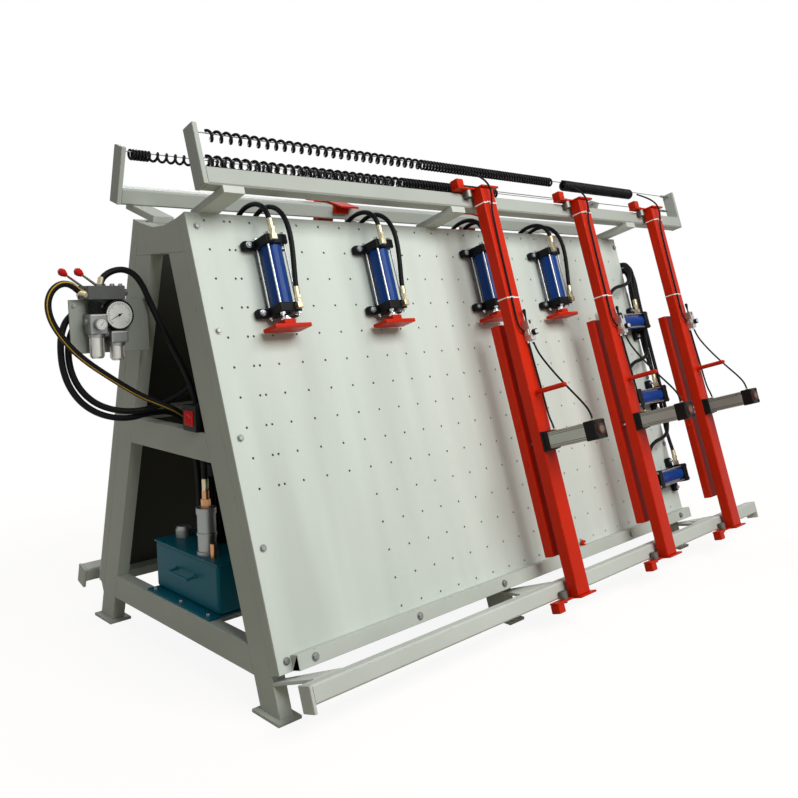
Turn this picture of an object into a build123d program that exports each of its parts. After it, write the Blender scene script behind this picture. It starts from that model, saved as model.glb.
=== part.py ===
import math
import os

from build123d import *

os.makedirs("parts", exist_ok=True)

# Two-sided frame assembly press: an A-shaped stand with a sloping work board on each side,
# hydraulic cylinders along two edges of each board, and air-driven clamping posts that roll
# along the rails. Millimetres and degrees. X runs along the machine, the front faces -Y.
# On each side x is the place along the machine, s runs up the board from its top edge and
# n stands out from the board's face.
FRONT = -1
REAR = 1

# Work boards and the stand behind them
BOARD_LENGTH = 2550.0
BOARD_SLANT = 1500.0
BOARD_T = 5.0
LEAN = 17.6
FRAME_HEIGHT = 1585.0
TOP_HALF = 175.0
LEG_W = 50.0
LEG_DEPTH = 100.0
LEG_WALL = 4.0
SPACER = 40.0
SPACER_WALL = 3.0
FOOT_T = 12.0
FOOT_MARGIN = 20.0
GUSSET_DROP = 128.0
NOTCH_HALF = 38.0
NOTCH_DROP = 35.0
CROSSBAR = 95.0
MID_BAR_TOP = 866.0
LOW_BAR_TOP = 208.0
CENTRE_FRAME = 1150.0
MID_STRINGER = 750.0
TANK_BEARER_W = 60.0
TANK_BEARER_T = 30.0

# Ledge bar that the work stands on, and the bolts of board and ledge
LEDGE_H = 50.0
LEDGE_D = 40.0
LEDGE_WALL = 4.0
LEDGE_INSET = 52.0
BOLT_AF = 19.0
BOLT_H = 8.0
EDGE_BOLT_INSET = 35.0
EDGE_BOLT_TOP = 48.0
EDGE_BOLT_FOOT = 36.0
EDGE_BOLTS = 5
LEDGE_BOLT_START = 118.0
LEDGE_BOLT_END = 102.0
LEDGE_BOLTS = 6

# Rails that the posts roll along
RAIL = 60.0
RAIL_CORNER = 6.0
RAIL_WALL = 4.0
RAIL_N = 138.0
TOP_RAIL_RISE = 55.0
LOW_RAIL_DROP = 51.0
RAIL_LEAD = 13.0
RAIL_OVERRUN = 450.0
RAIL_PLATE_T = 12.0
LOW_PLATE_DROP = 25.0
UPRIGHT_T = 18.0
UPRIGHT_RISE = 144.0
ARM_W = 80.0
ARM_INSET = 2.0
BRACKET_T = 12.0
BRACKET_SPREAD = 110.0
CENTRE_SPREAD = 75.0

# Clamping posts
POST_PLACES = (1275.0, 1965.0, 2620.0)
REAR_POST_PLACES = (1020.0, 2000.0)
POST_W = 80.0
POST_D = 50.0
POST_WALL = 4.0
POST_GAP = 17.0
TROLLEY_T = 8.0
TROLLEY_GAP = 2.0
TROLLEY_BACK = 50.0
TROLLEY_LIP = 10.0
TROLLEY_RIGHT = 65.0
TROLLEY_ARM = 140.0
BLOCK = 40.0
BLOCK_H = 34.0
ROLLER_D = 36.0
ROLLER_H = 30.0
ROLLER_PLACE = 68.0
ROLLER_GAP = 0.3
SLIDE_PAD = 16.0
SLIDE_PAD_H = 34.0
HANDLE_D = 20.0
HANDLE_LENGTH = 148.0
HANDLE_S = 775.0

# Clamp bar and its air cylinder
BAR_D = 40.0
BAR_WALL = 3.0
BAR_GAP = 30.0
BAR_TOP = 472.0
BAR_LENGTH = 952.0
CLAMP_STROKE = 90.0
AIR_S = 973.0
AIR_SIZE = 75.0
AIR_CORNER = 8.0
AIR_FLANGE = 80.0
AIR_FLANGE_T = 10.0
AIR_LENGTH = 225.0
AIR_CAP_T = 18.0
AIR_BOSS_D = 44.0
AIR_BOSS_H = 5.0
AIR_ROD_D = 20.0
ROD_GAP = 0.1
VALVE_S = 525.0
VALVE_X = 24.0
VALVE_W = 30.0
VALVE_H = 84.0
VALVE_D = 36.0
VALVE_SLOT = 13.0
VALVE_SLOT_DEPTH = 18.0
LEVER_T = 12.0
LEVER_HUB_D = 16.0
LEVER_LENGTH = 56.0
LEVER_GAP = 0.5
AIR_HOSE_D = 8.0

# Hydraulic cylinders on the boards
TOP_CYLINDERS = (270.0, 765.0, 1370.0, 1840.0)
SIDE_CYLINDERS = (470.0, 860.0, 1270.0)
TOP_CAP_S = 100.0
SIDE_CAP_INSET = 30.0
CYL_N = 56.0
HEAD = 88.0
HEAD_T = 34.0
EAR_REACH = 86.0
EAR_H = 30.0
BARREL_D = 72.0
BARREL_BORE = 60.0
BARREL_SPARE = 24.0
TIE_D = 10.0
TIE_SPAN = 66.0
PISTON_T = 30.0
RAM_ROD_D = 28.0
RAM_SHOWN = 18.0
PAD_STUB = 46.0
PAD_STUB_H = 20.0
PAD_W = 150.0
PAD_D = 76.0
PAD_T = 14.0
RAM_STROKE = 150.0
PORT_D = 22.0
PORT_H = 16.0
HOSE_D = 18.0
VALVE_HOSE_D = 22.0
HOSE_SIDES = 4
CAP_PORT = -22.0
ROD_PORT = 24.0

# Control plate, valve and air service unit on the left end
LEFT_REACH = 300.0
CONTROL_REACH = 280.0
CONTROL_Y = 100.0
CONTROL_T = 6.0
CONTROL_LOW = 1126.0
CONTROL_TOP = 1305.0
CONTROL_FLANGE = 130.0
SPOOL_LENGTH = 130.0
SPOOL_INSET = 100.0
SPOOL_STAGGER = 35.0
SPOOL_W = 44.0
SPOOL_H = 46.0
SPOOL_LEVER_D = 10.0
SPOOL_LEVER_LENGTH = 77.3
SPOOL_LEVER_TILT = 54.0
SPOOL_HUB_D = 20.0
SPOOL_HUB_GAP = 0.5
KNOB_D = 28.0
GAUGE_D = 104.0
GAUGE_T = 34.0
GAUGE_INSET = 121.0
GAUGE_Z = 1252.5
FILTER_INSET = 205.0
OILER_INSET = 135.0
SERVICE_BLOCK = 60.0
FILTER_TOP = 1258.0
FILTER_H = 68.0
OILER_TOP = 1200.0
OILER_H = 40.0
BOWL_D = 48.0
FILTER_BOWL_H = 80.0
OILER_BOWL_H = 60.0
SMALL_GAUGE_D = 40.0
SMALL_GAUGE_T = 18.0
REGULATOR_D = 44.0
REGULATOR_H = 40.0
SWITCH_W = 84.0
SWITCH_H = 88.0
SWITCH_D = 66.0
SWITCH_OUT = 14.0
SWITCH_SIDE = 4.0
ROCKER_W = 26.0
ROCKER_H = 34.0
ROCKER_T = 10.0
ROCKER_ROUND = 7.0
ROCKER_GAP = 0.8

# Hydraulic power unit inside the left end
TANK_LENGTH = 350.0
TANK_W = 440.0
TANK_H = 184.0
TANK_FLANGE_T = 8.0
TANK_FLANGE = 40.0
TANK_WALL = 4.0
TANK_CORNER = 20.0
TANK_Y = 6.0
BAIL_W = 130.0
BAIL_OUT = 34.0
BAIL_D = 10.0
BAIL_Z = 321.0
CAP_D = 62.0
CAP_H = 42.0
CAP_INSET = 98.0
CAP_Y = 176.0
COLUMN_D = 72.0
COLUMN_H = 170.0
COLUMN_INSET = 46.0
COLUMN_Y = -76.0
COLUMN_NECK_D = 34.0
COLUMN_NECK_H = 60.0
RETURN_INSET = 140.0
RETURN_Y = -10.0
SUCTION_INSET = 138.0
SUCTION_Y = 38.0
MOTOR_D = 176.0
MOTOR_H = 230.0
MOTOR_FLANGE_D = 210.0
MOTOR_FLANGE_T = 18.0
MOTOR_HOOD_H = 52.0
MOTOR_INSET = 220.0
MOTOR_Y = 66.0
MOTOR_RIBS = 12
MOTOR_RIB = 9.0

# Distributor block on the right end
BLOCK_S = 345.0
BLOCK_LENGTH = 100.0
BLOCK_W = 84.0
BLOCK_SLANT = 130.0

# Spiral air hoses on their wire ropes
ROPE_D = 4.0
ROPE_SIDES = 6
UPPER_ROPE_RISE = 126.0
LOWER_ROPE_RISE = 54.0
LOWER_ROPE_BACK = 26.0
TENSIONER_D = 14.0
TENSIONER_LENGTH = 80.0
CURL_HOSE = 8.0
CURL_RADIUS = 16.0
CURL_GAP = 2.5
SNUG_GAP = 0.3
CURL_PITCH = 68.0
CURL_START = 40.0
CURLS = 14
UPPER_SNUG = 870.0
LOWER_SNUG = 1450.0
REAR_SNUG = 1300.0
SLEEVE_PLACE = 1975.0
SLEEVE_LENGTH = 605.0
SLEEVE_RADIUS = 21.0

# Hydraulic hoses, their header pipe behind the front board and their spare nipples
HEADER = 30.0
HEADER_S = 115.0
HEADER_N = -100.0
BUNDLE_N = (-75.0, -115.0)
BUNDLE_X = (12.0, 44.0, 76.0)
CABLE_D = 9.0

# Sides of round bars, of barrels and of large discs
ROUND_SIDES = 12
BARREL_SIDES = 16
GAUGE_SIDES = 24

LEAN_SIN = math.sin(math.radians(LEAN))
LEAN_COS = math.cos(math.radians(LEAN))
LEFT = (LEFT_REACH - BOARD_LENGTH - RAIL_OVERRUN) / 2
RIGHT = LEFT + BOARD_LENGTH
MIDDLE = (LEFT + RIGHT) / 2
RAIL_LEFT = LEFT - RAIL_LEAD
RAIL_RIGHT = RIGHT + RAIL_OVERRUN
LEG_FRONT = -BOARD_T - SPACER
LEG_BACK = LEG_FRONT - LEG_DEPTH
GUSSET_BASE = FRAME_HEIGHT - GUSSET_DROP
TOP_RAIL_S = TOP_RAIL_RISE
LOW_RAIL_S = -BOARD_SLANT - LOW_RAIL_DROP
RAIL_FACE = RAIL_N + RAIL / 2
RAIL_BACK = RAIL_N - RAIL / 2
POST_BACK = RAIL_FACE + POST_GAP
POST_FACE = POST_BACK + POST_D
POST_TOP = TOP_RAIL_S + RAIL / 2 + TROLLEY_GAP
POST_FOOT = LOW_RAIL_S - RAIL / 2 - TROLLEY_GAP
BAR_FACE = POST_BACK - BAR_GAP
BARREL_LENGTH = PISTON_T + RAM_STROKE + BARREL_SPARE
TANK_LEFT = LEFT + LEG_W
BEARER_Y = TANK_W / 2 - TANK_BEARER_W
TANK_TOP = LOW_BAR_TOP + TANK_FLANGE_T + TANK_H


def spot(side, x, s, n):
    """Point of one side, from its place along, up and out of the board."""
    y = side * (TOP_HALF - s * LEAN_SIN + n * LEAN_COS)
    z = FRAME_HEIGHT + s * LEAN_COS + n * LEAN_SIN
    return Vector(x, y, z)


def out_plane(side, x, s, n):
    """Plane that faces out from the board, with its own x along the machine."""
    return Plane(spot(side, x, s, n), x_dir=(1, 0, 0), z_dir=(0, side * LEAN_COS, LEAN_SIN))


def up_plane(side, x, s, n):
    """Plane that faces up the slope, with its own x along the machine."""
    return Plane(spot(side, x, s, n), x_dir=(1, 0, 0), z_dir=(0, -side * LEAN_SIN, LEAN_COS))


def long_plane(side, x, s, n):
    """Plane that faces along the machine, with its own x out from the board."""
    return Plane(spot(side, x, s, n), x_dir=(0, side * LEAN_COS, LEAN_SIN), z_dir=(1, 0, 0))


def in_section(side, s, n):
    """Point of one side as y and z."""
    point = spot(side, 0, s, n)
    return (point.Y, point.Z)


def at_height(side, n, z):
    """Point as y and z where the line at n crosses the height z."""
    return in_section(side, (z - FRAME_HEIGHT - n * LEAN_SIN) / LEAN_COS, n)


def bar_along(side, x0, x1, s, n, height, depth, corner=0.0, wall=0.0):
    """Bar or tube along the machine, centred on s and n."""
    with BuildPart() as bar:
        with BuildSketch(long_plane(side, x0, s, n)) as profile:
            Rectangle(depth, height)
            if corner:
                chamfer(profile.vertices(), corner)
            if wall:
                Rectangle(depth - 2 * wall, height - 2 * wall, mode=Mode.SUBTRACT)
        extrude(amount=x1 - x0)
    return bar.part


def bar_up(side, s0, s1, x, n, width, depth, wall=0.0):
    """Bar or tube up the slope, centred on x and n."""
    with BuildPart() as bar:
        with BuildSketch(up_plane(side, x, s0, n)):
            Rectangle(width, depth)
            if wall:
                Rectangle(width - 2 * wall, depth - 2 * wall, mode=Mode.SUBTRACT)
        extrude(amount=s1 - s0)
    return bar.part


def bar_out(side, n0, n1, x, s, width, height):
    """Bar that stands out from the board, centred on x and s."""
    with BuildPart() as bar:
        with BuildSketch(out_plane(side, x, s, n0)):
            Rectangle(width, height)
        extrude(amount=n1 - n0)
    return bar.part


def round_face(diameter, sides=ROUND_SIDES, mode=Mode.ADD):
    """Section of a round bar or bore, as a polygon with its corners on the round."""
    RegularPolygon(diameter / 2, sides, mode=mode)


def rod(plane, diameter, length):
    """Round bar that starts on a plane."""
    with BuildPart() as bar:
        with BuildSketch(plane):
            round_face(diameter)
        extrude(amount=length)
    return bar.part


def section_tube(x0, width, outer, inner, wall):
    """Tube lying in the end section, from its outline and the outline of its hollow."""
    with BuildPart() as tube:
        with BuildSketch(Plane.YZ.offset(x0)):
            with BuildLine():
                Polyline(*outer, close=True)
            make_face()
        extrude(amount=width)
        with BuildSketch(Plane.YZ.offset(x0 + wall)):
            with BuildLine():
                Polyline(*inner, close=True)
            make_face()
        extrude(amount=width - 2 * wall, mode=Mode.SUBTRACT)
    return tube.part


def finish(label, *solids):
    """Label a finished piece, of one solid or of several that belong together, and write it."""
    piece = solids[0] if len(solids) == 1 else Compound(children=list(solids))
    piece.label = label
    export_step(piece, f"parts/{label}.step")
    return piece


# Stand: end frames of rectangular tube, a centre frame and the stringers behind the boards
def leg(side, x0):
    def outline(inset):
        back = LEG_BACK + inset
        front = LEG_FRONT - inset
        return (
            at_height(side, back, FOOT_T),
            at_height(side, front, FOOT_T),
            at_height(side, front, GUSSET_BASE),
            at_height(side, back, GUSSET_BASE),
        )

    return section_tube(x0, LEG_W, outline(0), outline(LEG_WALL), LEG_WALL)


def crossbar(x0, top):
    def outline(inset):
        low = top - CROSSBAR + inset
        high = top - inset
        return (
            at_height(FRONT, LEG_BACK, low),
            at_height(REAR, LEG_BACK, low),
            at_height(REAR, LEG_BACK, high),
            at_height(FRONT, LEG_BACK, high),
        )

    return section_tube(x0, LEG_W, outline(0), outline(LEG_WALL), LEG_WALL)


def foot(side, x0):
    back = at_height(side, LEG_BACK, FOOT_T)[0]
    front = at_height(side, LEG_FRONT, FOOT_T)[0]
    with BuildPart() as plate:
        with BuildSketch(Plane.XY):
            with Locations((x0 + LEG_W / 2, (back + front) / 2)):
                Rectangle(LEG_W + 2 * FOOT_MARGIN, abs(front - back) + 2 * FOOT_MARGIN)
        extrude(amount=FOOT_T)
    return plate.part


def gusset(x0):
    with BuildPart() as plate:
        with BuildSketch(Plane.YZ.offset(x0)):
            with BuildLine():
                Polyline(
                    at_height(FRONT, LEG_FRONT, GUSSET_BASE),
                    at_height(REAR, LEG_FRONT, GUSSET_BASE),
                    in_section(REAR, 0, LEG_FRONT),
                    (NOTCH_HALF, FRAME_HEIGHT - NOTCH_DROP),
                    (-NOTCH_HALF, FRAME_HEIGHT - NOTCH_DROP),
                    in_section(FRONT, 0, LEG_FRONT),
                    close=True,
                )
            make_face()
        extrude(amount=LEG_W)
    return plate.part


def end_frame(x0):
    members = [gusset(x0), crossbar(x0, MID_BAR_TOP), crossbar(x0, LOW_BAR_TOP)]
    for side in (FRONT, REAR):
        members.append(leg(side, x0))
        members.append(foot(side, x0))
        spacer_n = -BOARD_T - SPACER / 2
        members.append(
            bar_up(side, -BOARD_SLANT, 0, x0 + LEG_W / 2, spacer_n, LEG_W, SPACER, SPACER_WALL)
        )
    return members


def tank_bearer(y):
    with BuildPart() as bearer:
        with BuildSketch(Plane.YZ.offset(TANK_LEFT)):
            with Locations((y, LOW_BAR_TOP - TANK_BEARER_T / 2)):
                Rectangle(TANK_BEARER_W, TANK_BEARER_T)
        extrude(amount=TANK_LENGTH)
    return bearer.part


finish(
    "left_end_frame",
    *end_frame(LEFT),
    tank_bearer(TANK_Y - BEARER_Y),
    tank_bearer(TANK_Y + BEARER_Y),
)
finish("right_end_frame", *end_frame(RIGHT - LEG_W))

CENTRE_X = LEFT + CENTRE_FRAME
inner_members = [
    crossbar(CENTRE_X - LEG_W / 2, GUSSET_BASE),
    crossbar(CENTRE_X - LEG_W / 2, LOW_BAR_TOP),
]
for side in (FRONT, REAR):
    inner_members.append(leg(side, CENTRE_X - LEG_W / 2))
    inner_members.append(foot(side, CENTRE_X - LEG_W / 2))
    for s in (-SPACER / 2, -MID_STRINGER, -BOARD_SLANT + SPACER / 2):
        inner_members.append(
            bar_along(
                side,
                LEFT + LEG_W,
                RIGHT - LEG_W,
                s,
                -BOARD_T - SPACER / 2,
                SPACER,
                SPACER,
                wall=SPACER_WALL,
            )
        )
finish("inner_frame", *inner_members)


# Work boards with their ledge bars and bolts
def board(side):
    with BuildPart() as plate:
        with BuildSketch(out_plane(side, MIDDLE, -BOARD_SLANT / 2, -BOARD_T)):
            Rectangle(BOARD_LENGTH, BOARD_SLANT)
        extrude(amount=BOARD_T)
    return plate.part


finish("front_board", board(FRONT))
finish("rear_board", board(REAR))

LEDGE_S = -BOARD_SLANT + LEDGE_H / 2
ledges = [
    bar_along(
        side,
        LEFT + LEDGE_INSET,
        RIGHT,
        LEDGE_S,
        LEDGE_D / 2,
        LEDGE_H,
        LEDGE_D,
        wall=LEDGE_WALL,
    )
    for side in (FRONT, REAR)
]
finish("ledge_bars", *ledges)


def bolt_head(plane, across_flats, height):
    with BuildPart() as head:
        with BuildSketch(plane):
            RegularPolygon(across_flats / 2, 6, major_radius=False)
        extrude(amount=height)
    return head.part


edge_pitch = (BOARD_SLANT - EDGE_BOLT_TOP - EDGE_BOLT_FOOT) / (EDGE_BOLTS - 1)
ledge_pitch = (BOARD_LENGTH - LEDGE_BOLT_START - LEDGE_BOLT_END) / (LEDGE_BOLTS - 1)
bolts = []
for side in (FRONT, REAR):
    for i in range(EDGE_BOLTS):
        for x in (LEFT + EDGE_BOLT_INSET, RIGHT - EDGE_BOLT_INSET / 2):
            s = -EDGE_BOLT_TOP - i * edge_pitch
            if s < -BOARD_SLANT + LEDGE_H and x > LEFT + LEDGE_INSET:
                continue
            bolts.append(bolt_head(out_plane(side, x, s, 0), BOLT_AF, BOLT_H))
    for i in range(LEDGE_BOLTS):
        x = LEFT + LEDGE_BOLT_START + i * ledge_pitch
        bolts.append(bolt_head(out_plane(side, x, LEDGE_S, LEDGE_D), BOLT_AF, BOLT_H))
finish("board_bolts", *bolts)


# Rails with their end plates, uprights, arms and brackets
def top_rail(side):
    tube = bar_along(
        side,
        RAIL_LEFT + UPRIGHT_T,
        RAIL_RIGHT - UPRIGHT_T,
        TOP_RAIL_S,
        RAIL_N,
        RAIL,
        RAIL,
        RAIL_CORNER,
        RAIL_WALL,
    )
    foot_s = TOP_RAIL_S - RAIL / 2
    top_s = TOP_RAIL_S + RAIL / 2 + UPRIGHT_RISE
    uprights = [
        bar_up(side, foot_s, top_s, x, RAIL_N, UPRIGHT_T, RAIL)
        for x in (RAIL_LEFT + UPRIGHT_T / 2, RAIL_RIGHT - UPRIGHT_T / 2)
    ]
    return tube, *uprights


def low_rail(side):
    tube = bar_along(
        side,
        RAIL_LEFT + RAIL_PLATE_T,
        RAIL_RIGHT - RAIL_PLATE_T,
        LOW_RAIL_S,
        RAIL_N,
        RAIL,
        RAIL,
        RAIL_CORNER,
        RAIL_WALL,
    )
    foot_s = LOW_RAIL_S - RAIL / 2 - LOW_PLATE_DROP
    plates = [
        bar_up(side, foot_s, LOW_RAIL_S + RAIL / 2, x, RAIL_N, RAIL_PLATE_T, RAIL)
        for x in (RAIL_LEFT + RAIL_PLATE_T / 2, RAIL_RIGHT - RAIL_PLATE_T / 2)
    ]
    return tube, *plates


finish("front_bottom_rail", *low_rail(FRONT))
finish("rear_bottom_rail", *low_rail(REAR))
finish("front_top_rail", *top_rail(FRONT))
finish("rear_top_rail", *top_rail(REAR))


def arm(side, x):
    """Flat arm over the board's top edge, from the stringer to the underside of the rail."""
    rise = TOP_RAIL_S - RAIL / 2
    return bar_out(side, LEG_FRONT, RAIL_FACE, x, rise / 2, ARM_W, rise)


def bracket(side, leg_left, leg_right, rail_left, rail_right, windows=False):
    """Flat plate from a leg to the back of the bottom rail, with two windows in the wide one."""
    top = LOW_RAIL_S + RAIL / 2

    def on_plate(x, n):
        return (x, side * (n - RAIL_BACK))

    with BuildPart() as plate:
        with BuildSketch(up_plane(side, 0, top - BRACKET_T, RAIL_BACK)):
            with BuildLine():
                Polyline(
                    on_plate(leg_left, LEG_FRONT),
                    on_plate(leg_right, LEG_FRONT),
                    on_plate(rail_right, RAIL_BACK),
                    on_plate(rail_left, RAIL_BACK),
                    close=True,
                )
            make_face()
            if windows:
                rim = RAIL / 4
                web = (rail_left + rail_right) / 2
                for edge, sign in ((rail_left, 1), (rail_right, -1)):
                    with BuildLine():
                        Polyline(
                            on_plate(edge + sign * 2 * rim, RAIL_BACK - rim),
                            on_plate(web - sign * rim / 2, RAIL_BACK - rim),
                            on_plate(web - sign * rim / 2, RAIL_BACK / 3),
                            close=True,
                        )
                    make_face(mode=Mode.SUBTRACT)
        extrude(amount=BRACKET_T)
    return plate.part


rail_carriers = []
for side in (FRONT, REAR):
    for x in (
        LEFT + LEG_W + ARM_INSET + ARM_W / 2,
        CENTRE_X,
        RIGHT - LEG_W - ARM_INSET - ARM_W / 2,
    ):
        rail_carriers.append(arm(side, x))
    rail_carriers.append(bracket(side, LEFT, LEFT + LEG_W, LEFT + LEG_W, LEFT + LEG_W + BRACKET_SPREAD))
    rail_carriers.append(
        bracket(
            side,
            CENTRE_X - LEG_W / 2,
            CENTRE_X + LEG_W / 2,
            CENTRE_X - LEG_W / 2 - CENTRE_SPREAD,
            CENTRE_X + LEG_W / 2 + CENTRE_SPREAD,
        )
    )
    rail_carriers.append(
        bracket(
            side,
            RIGHT - LEG_W,
            RIGHT,
            RIGHT - LEG_W - CENTRE_SPREAD,
            RIGHT + CENTRE_SPREAD,
            windows=True,
        )
    )
finish("rail_brackets", *rail_carriers)


# Hydraulic cylinders: square heads on ears, barrels held by tie rods, and their rams
def head_block(plane, ear_plane, bore):
    """One square head, made along its plane, standing on a pair of ears."""
    with BuildPart() as head:
        with BuildSketch(plane):
            Rectangle(HEAD, HEAD)
            if bore:
                round_face(bore, mode=Mode.SUBTRACT)
        extrude(amount=HEAD_T)
        with BuildSketch(ear_plane):
            Rectangle(2 * EAR_REACH, HEAD_T)
        extrude(amount=EAR_H)
    return head.part


def port(base, nipple):
    """Block of a hose port with the nipple that the hose is pressed on."""
    with BuildPart() as fitting:
        with BuildSketch(base):
            Rectangle(PORT_D, PORT_D)
        extrude(amount=PORT_D)
        with BuildSketch(nipple):
            Rectangle(HOSE_D, HOSE_D)
        extrude(amount=PORT_H)
    return fitting.part


def cylinder_parts(cap, ear, turn):
    """Solids of one cylinder: two heads, four tie rods, a barrel and two ports.

    cap gives the plane across the axis at a distance from the cap end, ear the plane on the
    board under the head at that distance, and turn the two planes of the port there."""
    rod_face = 2 * HEAD_T + BARREL_LENGTH
    heads = [
        head_block(cap(0), ear(HEAD_T / 2), 0),
        head_block(cap(rod_face - HEAD_T), ear(rod_face - HEAD_T / 2), RAM_ROD_D + 2 * ROD_GAP),
    ]
    with BuildPart() as barrel:
        with BuildSketch(cap(HEAD_T)):
            round_face(BARREL_D, BARREL_SIDES)
            round_face(BARREL_BORE, mode=Mode.SUBTRACT)
        extrude(amount=BARREL_LENGTH)
    with BuildPart() as ties:
        with BuildSketch(cap(HEAD_T)):
            with GridLocations(TIE_SPAN, TIE_SPAN, 2, 2):
                Rectangle(TIE_D, TIE_D)
        extrude(amount=BARREL_LENGTH)
    ports = [
        port(*turn(HEAD_T / 2, CAP_PORT)),
        port(*turn(rod_face - HEAD_T / 2, ROD_PORT)),
    ]
    return heads + ties.part.solids(), barrel.part, ports


def ram(cap, wide):
    """Piston, rod and pad of one cylinder, pulled in."""
    rod_face = 2 * HEAD_T + BARREL_LENGTH
    with BuildPart() as plunger:
        with BuildSketch(cap(HEAD_T)):
            round_face(BARREL_BORE - 2 * ROD_GAP)
        extrude(amount=PISTON_T)
        with BuildSketch(cap(HEAD_T + PISTON_T)):
            round_face(RAM_ROD_D)
        extrude(amount=rod_face + RAM_SHOWN - HEAD_T - PISTON_T)
    with BuildPart() as pad:
        with BuildSketch(cap(rod_face + RAM_SHOWN)):
            Rectangle(PAD_STUB, PAD_STUB)
        extrude(amount=PAD_STUB_H)
        with BuildSketch(cap(rod_face + RAM_SHOWN + PAD_STUB_H)):
            Rectangle(PAD_W if wide else PAD_D, PAD_D if wide else PAD_W)
        extrude(amount=PAD_T)
    return plunger.part, pad.part


def top_planes(side, x):
    """Planes of a cylinder that pushes down the slope."""

    def cap(distance):
        plane = up_plane(side, x, -TOP_CAP_S - distance, CYL_N)
        return Plane(plane.origin, x_dir=(1, 0, 0), z_dir=-plane.z_dir)

    def ear(distance):
        return out_plane(side, x, -TOP_CAP_S - distance, 0)

    def turn(distance, shift):
        s = -TOP_CAP_S - distance
        base = out_plane(side, x + shift, s, CYL_N + HEAD / 2)
        nipple = up_plane(side, x + shift, s + PORT_D / 2, CYL_N + HEAD / 2 + PORT_D / 2)
        return base, nipple

    return cap, ear, turn


def side_planes(side, s):
    """Planes of a cylinder that pushes to the left from the right-hand edge."""
    end = RIGHT - SIDE_CAP_INSET

    def cap(distance):
        plane = long_plane(side, end - distance, s, CYL_N)
        return Plane(plane.origin, x_dir=plane.x_dir, z_dir=-plane.z_dir)

    def ear(distance):
        plane = out_plane(side, end - distance, s, 0)
        return Plane(plane.origin, x_dir=plane.y_dir, z_dir=plane.z_dir)

    def turn(distance, shift):
        base = up_plane(side, end - distance, s + HEAD / 2, CYL_N)
        nipple = up_plane(side, end - distance, s + HEAD / 2 + PORT_D, CYL_N)
        return base, nipple

    return cap, ear, turn


heads, barrels, ports = [], [], []
for side in (FRONT, REAR):
    rams = []
    sets = [(top_planes(side, LEFT + place), True) for place in TOP_CYLINDERS]
    sets += [(side_planes(side, -place), False) for place in SIDE_CYLINDERS]
    for (cap, ear, turn), wide in sets:
        own_heads, own_barrel, own_ports = cylinder_parts(cap, ear, turn)
        heads += own_heads
        barrels.append(own_barrel)
        ports += own_ports
        rams.append(ram(cap, wide))
    if side == FRONT:
        for i, solids in enumerate(rams):
            finish(f"front_ram_{i + 1}", *solids)
    else:
        tops = len(TOP_CYLINDERS)
        finish("rear_top_rams", *[solid for pair in rams[:tops] for solid in pair])
        finish("rear_side_rams", *[solid for pair in rams[tops:] for solid in pair])
finish("cylinder_heads", *heads)
finish("cylinder_barrels", *barrels)


# Clamping posts: tube with trolley plates, air cylinder, hand valve and clamp bar
def trolley(side, x, s0, block_s0):
    """Plate across a rail with its end block, and the slide pad behind the rail."""
    front = POST_FACE + TROLLEY_LIP
    back = RAIL_BACK - TROLLEY_BACK
    arm_n = RAIL_FACE + ROLLER_GAP + ROLLER_D / 2

    def centre(x_mid, n_mid):
        return (x_mid, side * (n_mid - RAIL_N))

    with BuildPart() as plate:
        with BuildSketch(up_plane(side, x, s0, RAIL_N)):
            with Locations(centre((TROLLEY_RIGHT - POST_W / 2) / 2, (front + back) / 2)):
                Rectangle(TROLLEY_RIGHT + POST_W / 2, front - back)
            with Locations(centre(-(TROLLEY_ARM + POST_W / 2) / 2, arm_n)):
                Rectangle(TROLLEY_ARM - POST_W / 2, BLOCK)
        extrude(amount=TROLLEY_T)
    block = bar_up(
        side,
        block_s0,
        block_s0 + BLOCK_H,
        x - TROLLEY_ARM + BLOCK / 2,
        arm_n,
        BLOCK,
        BLOCK,
    )
    return plate.part, block


def post(side, x):
    """Post tube with both trolleys, their rollers and pads, and the handle."""
    with BuildPart() as tube:
        with BuildSketch(up_plane(side, x, POST_FOOT, POST_BACK + POST_D / 2)):
            Rectangle(POST_W, POST_D)
            Rectangle(POST_W - 2 * POST_WALL, POST_D - 2 * POST_WALL, mode=Mode.SUBTRACT)
        extrude(amount=POST_TOP - POST_FOOT)
        with BuildSketch(out_plane(side, x, -AIR_S, POST_BACK)):
            round_face(AIR_ROD_D + 2 * ROD_GAP)
        extrude(amount=POST_D, mode=Mode.SUBTRACT)
    solids = [tube.part]
    solids += trolley(side, x, POST_TOP, POST_TOP + TROLLEY_T)
    solids += trolley(side, x, POST_FOOT - TROLLEY_T, POST_FOOT - TROLLEY_T - BLOCK_H)
    roller_n = RAIL_FACE + ROLLER_GAP + ROLLER_D / 2
    for s in (POST_TOP - ROLLER_H, POST_FOOT):
        solids.append(rod(up_plane(side, x - ROLLER_PLACE, s, roller_n), ROLLER_D, ROLLER_H))
    pad_n = RAIL_BACK - ROLLER_GAP - SLIDE_PAD / 2
    for s0, s1 in ((POST_TOP - SLIDE_PAD_H, POST_TOP), (POST_FOOT, POST_FOOT + SLIDE_PAD_H)):
        solids.append(bar_up(side, s0, s1, x, pad_n, POST_W, SLIDE_PAD))
    solids.append(rod(out_plane(side, x, -HANDLE_S, POST_FACE), HANDLE_D, HANDLE_LENGTH))
    return solids


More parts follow.
